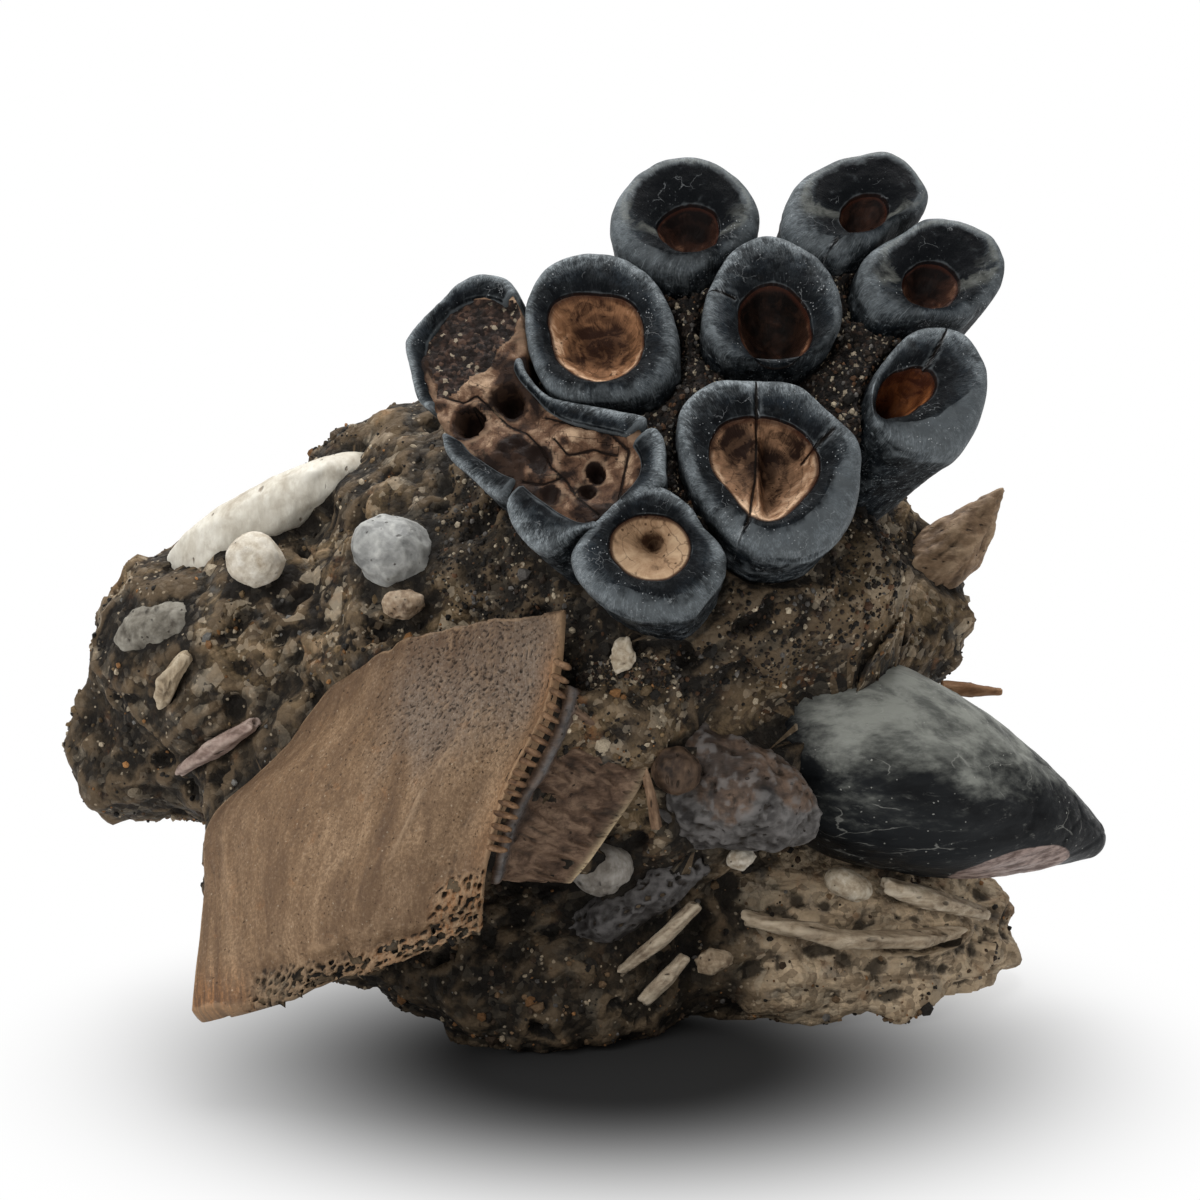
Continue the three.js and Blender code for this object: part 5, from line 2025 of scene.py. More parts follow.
@dataclass
class GapFill:
    """The rubble packed between the pillars, a little below their worn faces."""

    outline: Sequence[Point2] = (
        (-14.5, 37.5), (-9.2, 37), (-5, 40), (2.6, 43.6), (8.5, 49.5), (14, 47.5), (20.3, 46), (26.5, 49.5),
        (31.5, 53.5), (37.5, 47.5), (41.5, 43.5), (40.5, 37), (38.5, 28), (33, 23), (27, 19), (18.5, 13.5),
        (10.5, 8), (4.5, 4.4), (-1, 10), (-6, 14), (-13, 20), (-18, 28))
    level: float = -3.7
    spacing: float = 0.42

    @staticmethod
    def clearance(place: Array) -> Array:
        """How far places in the face's plane are outside the nearest pillar, below 0 inside it.

        Args:
            place: points in the face's plane, shape (n, 2).

        Returns:
            The distances, shape (n,).
        """
        best = np.full(len(place), 99.0)
        for pillar in SINGLE_PILLARS:
            off = place - pillar.at[:2]
            angle = np.arctan2(off[:, 1], off[:, 0])
            best = np.minimum(best, lengths(off) - read_ring(pillar.rim, angle))
        pair = even_line(DoublePillar().outline, 120, closed=True)
        return np.minimum(best, -depth_inside(place, pair))

    def build(self) -> Piece:
        """Builds the fill, sunk where the pillars pass through it.

        Returns:
            The piece.
        """
        outline = even_line(self.outline, 160, closed=True)
        mesh = raised_patch("gap_fill", outline, self.spacing, (-5, -8, -12, -17, -23, -30))
        points = points_of(mesh)
        place = points[:, :2].copy()
        clear = self.clearance(place)
        flat = columns(place, 1.7)
        first, _, name = cells(flat, 1.5, 51)
        lumps = 1.5 * (0.55 - first) * (0.25 + name)
        lumps = lumps + 1.1 * fractal(flat, 4.5, 3, 52) + 0.3 * fractal(flat, 1.1, 3, 53)
        border, _ = line_distance(place, outline, closed=True)
        height = self.level + lumps - 2.2 * ease(clear, 1.4, 0.0) - 9 * ease(clear, -0.6, -2.0)
        height -= 2.5 * ease(border, 1.6, 0.0)
        height -= 6.5 * (1 - ease(lengths((place - [20.5, 29.6]) / [1.5, 1.0]), 2.2, 4.8))
        top = points[:, 2] > TOP
        points[top, 2] = height[top]
        points[~top, 2] = np.minimum(points[~top, 2], height[~top] - 1.5)
        move_points(mesh, from_tooth(points))
        with editing(mesh) as bm:
            bmesh.ops.recalc_face_normals(bm, faces=bm.faces[:])
        paint(mesh, "open", np.where(top & (clear > -0.3), 1.0, 0.0))
        paint_hollows(mesh, 5)
        return shown(mesh, "gap_fill", Slot.MATRIX, [], SOIL)


# ---- bones, shell and pebbles ----


@dataclass
class BoneSheet:
    """A curved bone plate drawn over a net of points, thick as a real one, with a ragged border.

    The net's rows run from the left edge to the right one, from the top down, in millimetres. It is
    ragged at its left, right, top and bottom edges by turns, and each edge is rounded.
    """

    node: str
    slot: Slot
    net: Sequence[Sequence[Point3]]
    thick: Sequence[float]
    across: int
    down: int
    ragged: Sequence[float] = (0.5, 0.0, 0.5, 0.5)
    edge: float = 1.2
    seed: int = 0
    margin: float = 0.008
    wander: float = 0.022

    def spots(self, s: Array, t: Array) -> Array:
        """Places on the net in the frame, in millimetres."""
        return read_net(self.net, s, t) + DRAWING

    def relief(self, s: Array, t: Array, u: Array, v: Array) -> tuple[Array, dict[str, Array]]:
        """The height of the bone's surface over the net, and what its finish reads at its points.

        Args:
            s: the place across, from 0 to 1.
            t: the place down, from 0 to 1.
            u: the place across in millimetres.
            v: the place down in millimetres.

        Returns:
            The height in millimetres, and a value at each point by name.
        """
        raise NotImplementedError

    def skin(self) -> Mesh:
        """Wraps a closed double grid over the net, with rounded, ragged borders.

        Returns:
            The closed mesh.
        """
        mesh = bpy.data.meshes.new(self.node)
        with editing(mesh) as bm:
            bmesh.ops.create_grid(bm, x_segments=self.across, y_segments=self.down, size=1.0)
            grown = bmesh.ops.extrude_face_region(bm, geom=bm.faces[:], use_keep_orig=True)["geom"]
            for item in grown:
                if isinstance(item, bmesh.types.BMVert):
                    item.co.z = 1.0
        flat = points_of(in_order(mesh)) * MM
        s, t, back = (flat[:, 0] + 1) / 2, (1 - flat[:, 1]) / 2, flat[:, 2] > 0.5
        probe = columns(s * 30, t * 30, self.seed * 9.0)
        broad = fractal(probe, 5, 4, self.seed) * self.wander
        torn = [fractal(probe, 3, 3, self.seed + k) for k in (1, 2, 3, 4)]
        left, right, top, bottom = self.ragged
        s = s * (1 - left * broad * (1 - s)) + left * self.wander * (1 - s) * torn[0]
        s = s + right * self.wander * s * torn[1]
        t = t + top * 0.03 * (1 - t) * torn[2]
        t = t + bottom * 0.03 * t * torn[3]
        s, t = (np.clip(self.margin + (1 - 2 * self.margin) * share, 0, 1) for share in (s, t))
        spot = self.spots(s, t)
        small = self.margin / 2
        along_s = self.spots(np.minimum(s + small, 1), t) - self.spots(np.maximum(s - small, 0), t)
        along_t = self.spots(s, np.minimum(t + small, 1)) - self.spots(s, np.maximum(t - small, 0))
        outward = directions(np.cross(along_t, along_s))
        middle = self.spots(np.full(9, 0.5), np.linspace(0, 1, 9))
        row = self.spots(np.linspace(0, 1, 9), np.full(9, 0.5))
        high = float(lengths(np.diff(middle, axis=0)).sum())
        wide = float(lengths(np.diff(row, axis=0)).sum())
        u, v = s * wide, t * high
        border = np.minimum.reduce([u, wide - u, v, high - v])
        share = np.clip(1 - border / self.edge, 0, 1)
        drop = self.edge * (1 - np.sqrt(1 - share**2))
        height, values = self.relief(s, t, u, v)
        depth = read_row(self.thick, t) * (1 - 0.25 * share)
        lift = np.where(back, -depth, height - np.minimum(drop, 0.45 * depth))
        move_points(mesh, spot + outward * lift[:, None])
        for name, value in values.items():
            paint(mesh, name, value)
        with editing(mesh) as bm:
            bmesh.ops.recalc_face_normals(bm, faces=bm.faces[:])
        return mesh

    def finish(self) -> Material:
        """The bone's material."""
        raise NotImplementedError

    def build(self) -> Piece:
        """Builds the bone.

        Returns:
            The piece.
        """
        mesh = self.skin()
        paint_hollows(mesh, 7)
        return shown(mesh, f"{self.node}_weathered", self.slot, [self.node], self.finish())


@dataclass
class BonePlate(BoneSheet):
    """The broad plate at the left: grooved towards its lower left, spongy at its lower right."""

    node: str = "bone_plate"
    slot: Slot = Slot.TAN_BONE
    net: Sequence[Sequence[Point3]] = (
        ((-34, 0, 45), (-25, -5, 52), (-14, -11, 56), (-4.5, -16, 58.5)),
        ((-41, 1, 36), (-29, -9, 43.5), (-16, -17, 48), (-6, -22, 48.5)),
        ((-50, 0, 27.5), (-36, -13, 33), (-21, -22, 37), (-10.5, -25, 39.5)),
        ((-49.5, -10, 20), (-39, -19, 23.5), (-26, -25, 26), (-13, -26, 30)),
        ((-49, -24, 10.5), (-40, -25.5, 12.5), (-28, -26.5, 16), (-13.5, -25, 20.5)))
    thick: Sequence[float] = (1.6, 2.6, 3.4, 4, 3)
    across: int = 168
    down: int = 184
    ragged: Sequence[float] = (1.0, 0.25, 1.0, 0.8)
    edge: float = 1.4
    seed: int = 61
    ridge: Sequence[Point2] = ((0.735, 0.3), (0.7, 0.4), (0.675, 0.47), (0.67, 0.56), (0.665, 0.66))
    teeth: int = 17
    teeth_from: float = 0.15
    teeth_to: float = 0.7

    def relief(self, s: Array, t: Array, u: Array, v: Array) -> tuple[Array, dict[str, Array]]:
        """Grooves that fan to the lower left, a raised ridge, pitted parts and a rolled right edge."""
        lean = u - 0.32 * v * (1 - 0.6 * s)
        run = columns(lean, v, 0.0)
        long = columns(lean, v * 0.14, 2.0)
        place = columns(u, v, 7.0)
        distance, _ = line_distance(columns(s, t) * [42, 50], np.asarray(self.ridge) * [42, 50])
        ridge = hump(distance, 0.38) * (0.5 + 0.7 * smooth_noise(place, 2.2, 59))
        grey = np.exp(-(((s - 0.66) / 0.3) ** 2 + ((t - 0.17) / 0.26) ** 2)) * 1.25
        low_right = ease(s, 0.8, 0.86) * ease(t, 0.745, 0.79)
        low_band = ease(t, 0.885, 0.93) * ease(s, 0.24, 0.34)
        spongy = np.clip(np.maximum(low_right, low_band), 0, 1)
        first, _, name = cells(place + 0.5 * fractal(place, 1.6, 2, 62)[:, None], 1.05, 63)
        tiny, _, _ = cells(place, 0.6, 64)
        holes = ease(0.55 - first, 0.0, 0.3) * (name < 0.85)
        trough = -1.5 * hump(s - 0.86, 0.085) * ease(t, 0.1, 0.3) * ease(t, 0.82, 0.68)
        height = 0.5 * fractal(long, 9, 3, 65) + 0.15 * fractal(long, 2.6, 3, 66)
        height = height + 0.05 * fractal(long, 0.9, 2, 67) + 0.35 * fractal(place, 6, 3, 68)
        height = height + 0.4 * ridge + 0.6 * hump(distance, 2.2) + trough
        roll = ease(s, 0.93, 0.99) * ease(t, 0.1, 0.2) * ease(t, 0.78, 0.7)
        height = height + 0.5 * roll
        sponge = 1.2 * holes + 0.7 * (0.5 - tiny) + 0.5 * fractal(place, 2.6, 3, 60)
        height = height * (1 - 0.45 * spongy) - spongy * sponge
        height = height - 0.3 * np.clip(grey, 0, 1) * ease(0.5 - tiny, 0.0, 0.35)
        step = ease(t + 0.02 * fractal(place, 5, 4, 69), 0.85, 0.905) * ease(s, 0.2, 0.34)
        height = height - step
        values = {"across": s, "down": t, "ridge": ridge, "grey": grey, "spongy": spongy, "run": run}
        return height, values

    def finish(self) -> Material:
        """The plate's material."""
        return PlateFinish().material()

    def suture(self) -> Piece:
        """Builds the row of rounded teeth along the plate's right edge, where it meets the flange.

        Returns:
            The piece.
        """
        ball = bpy.data.meshes.new("suture_tooth")
        with editing(ball) as bm:
            bmesh.ops.create_uvsphere(bm, u_segments=14, v_segments=9, radius=1.0)
        unit = points_of(in_order(ball)) * MM
        place = np.linspace(self.teeth_from, self.teeth_to, self.teeth)
        jitter, size = (lattice(np.array([[k, row, 0] for k in range(self.teeth)]), 70) for row in (0, 1))
        place = place + (jitter - 0.5) * 0.008
        one = np.ones(self.teeth)
        root = self.spots(one, place)
        across = directions(root - self.spots(one - 0.06, place))
        down = directions(self.spots(one, place + 0.01) - self.spots(one, place - 0.01))
        along = directions(across + 0.5 * down + [0.25, 0.0, 0.0])
        outward = np.cross(down, across)
        blunt = np.sign(unit[:, 0]) * np.abs(unit[:, 0]) ** 0.75
        sink = 0.3 + 0.75 * np.clip(-unit[:, :1], 0, 1) ** 2
        mesh = bpy.data.meshes.new("suture_teeth")
        with editing(mesh) as bm:
            for k in range(self.teeth):
                side = np.cross(along[k], outward[k])
                side /= np.linalg.norm(side)
                face = np.cross(side, along[k])
                reach, width = 1.5 + 0.45 * size[k], 0.36 + 0.1 * jitter[k]
                shape = blunt[:, None] * along[k] * reach * 0.86
                shape = shape + unit[:, 1:2] * side * width + unit[:, 2:3] * face * 0.5
                shape = shape + root[k] + along[k] * reach * 0.3 - sink * outward[k]
                shape = shape + 0.09 * columns(*[fractal(shape, 0.9, 2, 71 + c) for c in range(3)])
                move_points(ball, shape)
                bm.from_mesh(ball)
        bpy.data.meshes.remove(ball)
        paint_hollows(mesh, 2)
        finish = BoneFinish(
            "suture_bone", (0.38, 0.235, 0.135), (0.24, 0.135, 0.07), (0.05, 0.024, 0.013),
            (1, 1, 1), (0, 0, 0), 700, 0.08, 2400, 0.55, 0.08)
        return shown(mesh, "suture_teeth", Slot.ORANGE_BONE, [], finish.material())


@dataclass
class BoneFlange(BoneSheet):
    """The dark flange right of the suture: scored across, smooth next to the teeth, with a pale rim."""

    node: str = "bone_flange"
    slot: Slot = Slot.DARK_BONE
    net: Sequence[Sequence[Point3]] = (
        ((-4.2, -18.8, 50.0), (1.8, -17, 47), (7.5, -14.5, 43.5)),
        ((-7.0, -21.6, 42.2), (-0.6, -17.5, 39.5), (5.2, -14.8, 36.5)),
        ((-11.6, -23.0, 34.2), (-5, -19, 31.5), (0.6, -16.5, 30)),
        ((-13.4, -23.0, 26.5), (-8, -20.5, 25.5), (-3.5, -18.5, 25)))
    thick: Sequence[float] = (2.4, 3, 3, 2.4)
    across: int = 90
    down: int = 150
    ragged: Sequence[float] = (0.2, 1.6, 1.0, 1.0)
    edge: float = 1.0
    seed: int = 81

    def relief(self, s: Array, t: Array, u: Array, v: Array) -> tuple[Array, dict[str, Array]]:
        """Fine grooves across the middle, a smooth band at the left and a raised rim at the right."""
        scored = columns(u * 0.22, v - 0.25 * u, 3.0)
        place = columns(u, v, 5.0)
        middle = ease(s, 0.14, 0.26) * ease(s, 0.93, 0.8)
        grooves = fractal(scored, 1.15, 3, 82) * 0.8 + fractal(scored, 3.6, 2, 83) * 0.6
        height = middle * (grooves - 0.75) + 0.35 * fractal(place, 4.5, 3, 84)
        rim = hump(s - 0.97, 0.06) * (0.8 + 0.6 * smooth_noise(place, 2.5, 85))
        height = height + 0.5 * rim + 0.4 * ease(s, 0.2, 0.12) * ease(s, 0.06, 0.12)
        height = height - 0.9 * ease(s, 0.1, 0.04)
        smooth = ease(s, 0.24, 0.14) * ease(s, 0.07, 0.11)
        return height, {"smooth": smooth, "rim": np.clip(rim, 0, 1)}

    def finish(self) -> Material:
        """The flange's material."""
        return BoneFinish("flange_bone", (0.275, 0.18, 0.118), (0.13, 0.078, 0.05), (0.022, 0.013, 0.009),
                          (0.3, 1, 1), (0, 20, 0), 650, 0.1, 1900, 0.6, 0.14, smooth=(0.185, 0.18, 0.178),
                          rim=(0.5, 0.39, 0.24)).material()


@dataclass
class SecondTooth:
    """The smooth dark tooth lying on its side at the right. Sizes are in millimetres.

    Each station is a centre, then half the width and half the height there.
    """

    node: str = "second_tooth"
    stations: Sequence[tuple[float, float, float, float, float]] = (
        (17, 12, 42, 1.5, 3), (23, 8, 40, 8, 8.4), (32, 5, 35, 12, 13), (42, 5, 31.2, 12.5, 12.2),
        (52, 7, 27.2, 10, 9.2), (60, 9, 23.8, 6, 5.6), (66.4, 10, 21, 2, 1.8))
    worn: Point3 = (54.1, 2, 21.1)
    around: int = 168
    along: int = 210

    def build(self) -> Piece:
        """Wraps a grid round the stations, draws its ends in, and gives it low swellings.

        Returns:
            The piece.
        """
        mesh, turn, run = flat_grid(self.node, self.around, self.along)
        row = np.array(self.stations, float)
        share = 0.5 - 0.5 * np.cos(run * math.pi)
        share = 0.45 * share + 0.55 * run
        centre = read_row(row[:, :3], share)
        after, before = np.minimum(share + 0.02, 1), np.maximum(share - 0.02, 0)
        ahead = directions(read_row(row[:, :3], after) - read_row(row[:, :3], before))
        across = directions(np.cross(ahead, [0, 0, 1.0]))
        rise = np.cross(across, ahead)
        angle = turn * 2 * math.pi
        cap = np.sqrt(np.clip(1 - (1 - np.clip(np.minimum(share, 1 - share) / 0.05, 0, 1)) ** 2, 0, 1))
        wide, tall = read_row(row[:, 3], share) * cap, read_row(row[:, 4], share) * cap
        shape = centre + across * (np.cos(angle) * wide)[:, None] + rise * (np.sin(angle) * tall)[:, None]
        out = across * np.cos(angle)[:, None] + rise * np.sin(angle)[:, None]
        long = shape * [0.35, 1, 1]
        swell = fractal(long, 15, 3, 91) + 0.3 * fractal(long, 4.5, 3, 92)
        swell = swell + 0.07 * fractal(shape, 1.6, 3, 93)
        first, second, _ = cells(shape * [0.4, 1, 1], 7.5, 94)
        seam = hump(second - first, 0.05)
        shape = shape + out * ((swell - 0.1 * seam) * cap)[:, None]
        off = (shape - self.worn) * [0.62, 1.0, 1.0]
        dentine = 1 - ease(lengths(off), 1.6, 4.4)
        shape = shape - out * (0.5 * dentine)[:, None]
        move_points(mesh, shape + DRAWING)
        close_up(mesh)
        points = points_of(mesh) - DRAWING
        off = (points - self.worn - [-1.5, 0.0, -0.2]) * [0.4, 0.6, 0.85]
        paint(mesh, "dentine", 1 - ease(lengths(off), 1.8, 5.0))
        # Painted light on the top: how far each point faces up, less towards the ends.
        up = normals_of(mesh)
        tip = np.clip(points[:, 0] - 46, 0, 30) * 0.018 + np.clip(29 - points[:, 0], 0, 12) * 0.055
        paint(mesh, "up", up[:, 2] * 0.6 - points[:, 0] * 0.003 + 0.52 - tip)
        paint_hollows(mesh, 7)
        finish = SecondToothFinish().material()
        return shown(mesh, f"{self.node}_worn", Slot.DARK_TOOTH, [self.node], finish)


@dataclass
class BeddedPiece:
    """A bone, splinter, shell or pebble bedded in the block: its CAD shape, weathered."""

    node: str
    slot: Slot
    finish: BoneFinish
    voxel: float = 0.4
    rounds: int = 5
    lumps: float = 0.35
    wave: float = 3.0
    fine: float = 0.1
    drawn: float = 1.0
    pits: float = 0.0
    pit_size: float = 1.2
    seed: int = 0

    def build(self) -> Piece:
        """Rounds the CAD shape, then gives it lumps, grain and pits.

        A piece drawn out along its length has its grain that way and splintered ends.

        Returns:
            The piece.
        """
        mesh = remeshed(self.node, solid_copy(self.node), self.voxel)
        edges = edges_of(mesh)
        start = points_of(mesh)
        rounded = smoothed(edges, start, self.rounds, 0.6)
        centre = start.mean(axis=0)
        grow = lengths(start - centre).mean() / lengths(rounded - centre).mean()
        points = centre + (rounded - centre) * (0.4 + 0.6 * grow)
        move_points(mesh, points)
        normals = normals_of(mesh)
        axis = np.linalg.svd(start - centre, full_matrices=False)[2][0]
        along = (points - centre) @ axis
        drawn = points - np.outer(along * (1 - self.drawn), axis)
        half = max(float(np.abs(along).max()), 1e-6)
        if self.drawn < 1:
            torn = 1.6 * smooth_noise(drawn, 0.9, 160 + self.seed) * ease(np.abs(along) / half, 0.7, 1.0)
            points = points - axis * (np.sign(along) * np.clip(torn, -0.2, 1.4))[:, None]
        height = self.lumps * fractal(drawn, self.wave, 4, 100 + self.seed, 0.6)
        height += self.fine * fractal(drawn, 0.9, 3, 120 + self.seed)
        if self.pits:
            first, _, name = cells(points, self.pit_size, 140 + self.seed)
            height -= self.pits * ease(0.5 - first, 0.0, 0.3) * (name < 0.55)
        move_points(mesh, points + normals * height[:, None])
        paint_hollows(mesh, 6)
        return shown(mesh, f"{self.node}_weathered", self.slot, [self.node], self.finish.material())


def bedded_pieces() -> list[BeddedPiece]:
    """Every piece bedded in the block that keeps its CAD shape under its weathering.

    Returns:
        The pieces, in the order that they are built.
    """
    low, high = (corner.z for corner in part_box("knuckle_bone"))
    knuckle = BoneFinish(
        "knuckle_grey", (0.205, 0.193, 0.185), (0.118, 0.11, 0.104), (0.022, 0.019, 0.018), (0.6, 1, 1),
        (0, 25, 0), 330, 0.1, 1600, 0.45, crown=(0.18, 0.118, 0.082), crown_at=low + 0.46 * (high - low))
    nodule = BoneFinish(
        "nodule_brown", (0.15, 0.095, 0.06), (0.065, 0.04, 0.026), (0.018, 0.012, 0.009), scale=420,
        pores=0.12, gloss=0.55)
    splinter_tan = BoneFinish(
        "splinter_tan", (0.36, 0.24, 0.15), (0.2, 0.12, 0.07), (0.06, 0.034, 0.02), (1, 1, 0.2),
        (0, 12, 0), 800, 0.05, 2200, 0.6)
    pitted = BoneFinish(
        "pitted_grey", (0.16, 0.15, 0.145), (0.07, 0.065, 0.062), (0.016, 0.013, 0.012), (0.5, 1, 1),
        (0, -35, 0), 420, 0.3, 1500, 0.6)
    cream_up = BoneFinish(
        "splinter_cream", (0.62, 0.53, 0.4), (0.44, 0.35, 0.25), (0.14, 0.1, 0.065), (0.25, 1, 1),
        (0, -40, 0), 700, 0.06, 2200, 0.65)
    cream_low = BoneFinish(
        "flake_cream", (0.5, 0.41, 0.29), (0.31, 0.23, 0.15), (0.1, 0.066, 0.04), (1, 1, 1), (0, 0, 0),
        520, 0.1, 1900, 0.7)
    rib = BoneFinish(
        "rib_pale", (0.6, 0.5, 0.37), (0.4, 0.31, 0.21), (0.13, 0.09, 0.055), (0.2, 1, 1), (0, 8, -10),
        620, 0.12, 1800, 0.65)
    ledge = BoneFinish(
        "ledge_pale", (0.66, 0.57, 0.44), (0.46, 0.37, 0.26), (0.15, 0.105, 0.065), (0.25, 1, 1),
        (0, 22, -10), 620, 0.08, 1900, 0.65)
    white = BoneFinish(
        "stone_white", (0.86, 0.82, 0.73), (0.7, 0.64, 0.53), (0.32, 0.25, 0.17), (1, 1, 1), (0, 0, 0),
        420, 0.05, 1900, 0.6, 0.12, (0.1, 0.075, 0.05))
    dull = BoneFinish("stone_dull", (0.5, 0.47, 0.43), (0.34, 0.31, 0.27), (0.12, 0.1, 0.08), scale=420)
    shell = BoneFinish(
        "shell_white", (0.86, 0.83, 0.74), (0.72, 0.68, 0.58), (0.4, 0.34, 0.26), (1, 0.4, 0.4),
        (24, 30, 10), 260, 0.05, 1500, 0.5, 0.14, (0.2, 0.15, 0.1))
    flake = BoneFinish(
        "flake_white", (0.66, 0.6, 0.49), (0.5, 0.42, 0.31), (0.22, 0.16, 0.1), (1, 1, 1), (0, 0, 0),
        620, 0.06, 2200, 0.6, 0.1, (0.1, 0.075, 0.05))
    chip = BoneFinish(
        "chip_tan", (0.58, 0.47, 0.35), (0.4, 0.29, 0.19), (0.08, 0.045, 0.026), (1, 0.5, 1), (0, 10, 0),
        520, 0.12, 1900, 0.65)
    grey = BoneFinish(
        "stone_grey", (0.58, 0.58, 0.54), (0.42, 0.42, 0.4), (0.17, 0.172, 0.166), (1, 1, 1), (0, 0, 0),
        300, 0.06, 1700, 0.55, 0.12, (0.05, 0.045, 0.04))
    brown = BoneFinish(
        "stone_olive", (0.36, 0.34, 0.29), (0.24, 0.22, 0.18), (0.07, 0.06, 0.048), (1, 0.6, 1),
        (0, 25, 20), 360, 0.15, 1500, 0.75)
    streak = BoneFinish(
        "streak_pale", (0.62, 0.52, 0.38), (0.42, 0.33, 0.22), (0.13, 0.095, 0.06), (1, 1, 0.3),
        (0, 0, 0), 620, 0.08, 1900, 0.7)
    pink = BoneFinish(
        "splinter_pink", (0.52, 0.41, 0.35), (0.33, 0.235, 0.195), (0.11, 0.07, 0.055), (0.25, 1, 1),
        (0, -34, 33), 620, 0.08, 1900, 0.6)
    spike = BoneFinish(
        "spike_orange", (0.46, 0.33, 0.21), (0.26, 0.165, 0.095), (0.07, 0.042, 0.025), (0.35, 1, 1),
        (0, -50, 0), 420, 0.1, 1700, 0.6)
    stub = BoneFinish(
        "stub_orange", (0.42, 0.25, 0.14), (0.26, 0.13, 0.06), (0.085, 0.04, 0.02), (0.3, 1, 1),
        (0, 0, 0), 520, 0.1, 1900, 0.65)
    lump = BoneFinish(
        "lump_tan", (0.26, 0.18, 0.11), (0.15, 0.095, 0.055), (0.05, 0.03, 0.018), (0.4, 1, 1),
        (0, 16, 16), 260, 0.2, 1300, 0.65)
    rows = (
        ("knuckle_bone", Slot.GREY_BONE, knuckle, 0.4, 4, 1.5, 5.0, 0.22),
        ("bone_nodule", Slot.DARK_BONE, nodule, 0.36, 4, 0.5, 3, 0.1),
        ("thin_splinter", Slot.ORANGE_BONE, splinter_tan, 0.2, 1, 0.2, 1.2, 0.05, 0.2),
        ("pitted_bone", Slot.GREY_BONE, pitted, 0.38, 5, 0.6, 3.5, 0.12, 1.0, 0.8, 1.4),
        ("pale_splinter_long", Slot.PALE_BONE, cream_up, 0.22, 1, 0.5, 1.7, 0.12, 0.16),
        ("pale_splinter_short", Slot.PALE_BONE, cream_up, 0.22, 1, 0.45, 1.6, 0.1, 0.16),
        ("pale_flake_low", Slot.PALE_BONE, cream_low, 0.26, 3, 0.45, 2.2, 0.12),
        ("rib_splinter", Slot.PALE_BONE, rib, 0.3, 1, 0.6, 2.2, 0.14, 0.16),
        ("pale_ledge_splinter", Slot.PALE_BONE, ledge, 0.28, 1, 0.6, 2.0, 0.12, 0.16),
        ("white_pebble_right", Slot.WHITE_STONE, flake, 0.28, 5, 0.35, 3, 0.06),
        ("pale_chip", Slot.WHITE_STONE, white, 0.22, 2, 0.4, 2, 0.08),
        ("white_pebble_low", Slot.WHITE_STONE, dull, 0.32, 5, 0.5, 4, 0.06),
        ("pale_flake_front", Slot.SHELL, flake, 0.2, 2, 0.5, 1.8, 0.1),
        ("tan_chip", Slot.ORANGE_BONE, chip, 0.28, 3, 0.45, 2.4, 0.12),
        ("white_slab", Slot.SHELL, shell, 0.4, 2, 0.45, 9, 0.1),
        ("white_pebble", Slot.WHITE_STONE, white, 0.3, 4, 0.6, 6, 0.08),
        ("grey_pebble", Slot.GREY_STONE, grey, 0.36, 4, 0.8, 8, 0.09),
        ("left_pebble", Slot.BROWN_STONE, brown, 0.36, 5, 0.7, 4, 0.12),
        ("pale_streak", Slot.PALE_BONE, streak, 0.26, 1, 0.55, 1.8, 0.12, 0.2),
        ("pink_splinter", Slot.PINK_BONE, pink, 0.26, 1, 0.5, 1.9, 0.1, 0.18),
        ("bone_spike", Slot.ORANGE_BONE, spike, 0.36, 3, 0.9, 3.4, 0.16, 0.35),
        ("stub_right", Slot.ORANGE_BONE, stub, 0.26, 1, 0.5, 1.8, 0.1, 0.25),
        ("back_bone_lump", Slot.TAN_BONE, lump, 0.45, 6, 1.0, 6, 0.14, 1.0, 0.4, 1.6),
        ("back_splinter", Slot.PALE_BONE, rib, 0.3, 1, 0.5, 2.2, 0.12, 0.2),
        ("back_pebble", Slot.GREY_STONE, grey, 0.38, 6, 0.6, 4, 0.08),
        ("back_pebble_low", Slot.BROWN_STONE, brown, 0.38, 6, 0.6, 4, 0.1),
    )
    return [BeddedPiece(*row, seed=seed) for seed, row in enumerate(rows, 1)]


# ---- the block ----

# Bedded pieces so thick that the block's skin is worked out with them in their seats.
THICK_NODES = (
    "bone_plate", "bone_flange", "second_tooth", "knuckle_bone", "bone_nodule", "pitted_bone",
    "white_pebble_right", "white_pebble_low", "tan_chip", "white_slab", "white_pebble", "grey_pebble",
    "left_pebble", "bone_spike", "back_bone_lump", "back_pebble", "back_pebble_low")


def surface_tree(pieces: Sequence[Piece]) -> BVHTree:
    """A search tree over the surfaces of finished pieces, in millimetres.

    Args:
        pieces: the pieces.

    Returns:
        The tree.
    """
    bm = bmesh.new()
    for piece in pieces:
        bm.from_mesh(piece.data)
    bmesh.ops.scale(bm, vec=(1 / MM,) * 3, verts=bm.verts[:])
    tree = BVHTree.FromBMesh(bm)
    bm.free()
    return tree


def how_near(tree: BVHTree, points: Array, reach: float = 30.0) -> Array:
    """The distance from points to a surface, at most reach; below 0 behind the surface.

    Args:
        tree: the surface.
        points: the points, shape (n, 3).
        reach: how far to look.

    Returns:
        The distances, shape (n,).
    """
    result = np.full(len(points), reach)
    for k, point in enumerate(points):
        place, normal, _, distance = tree.find_nearest(Vector(point), reach)
        if place is not None:
            behind = (Vector(point) - place).dot(normal) < 0
            result[k] = -distance if behind else distance
    return result


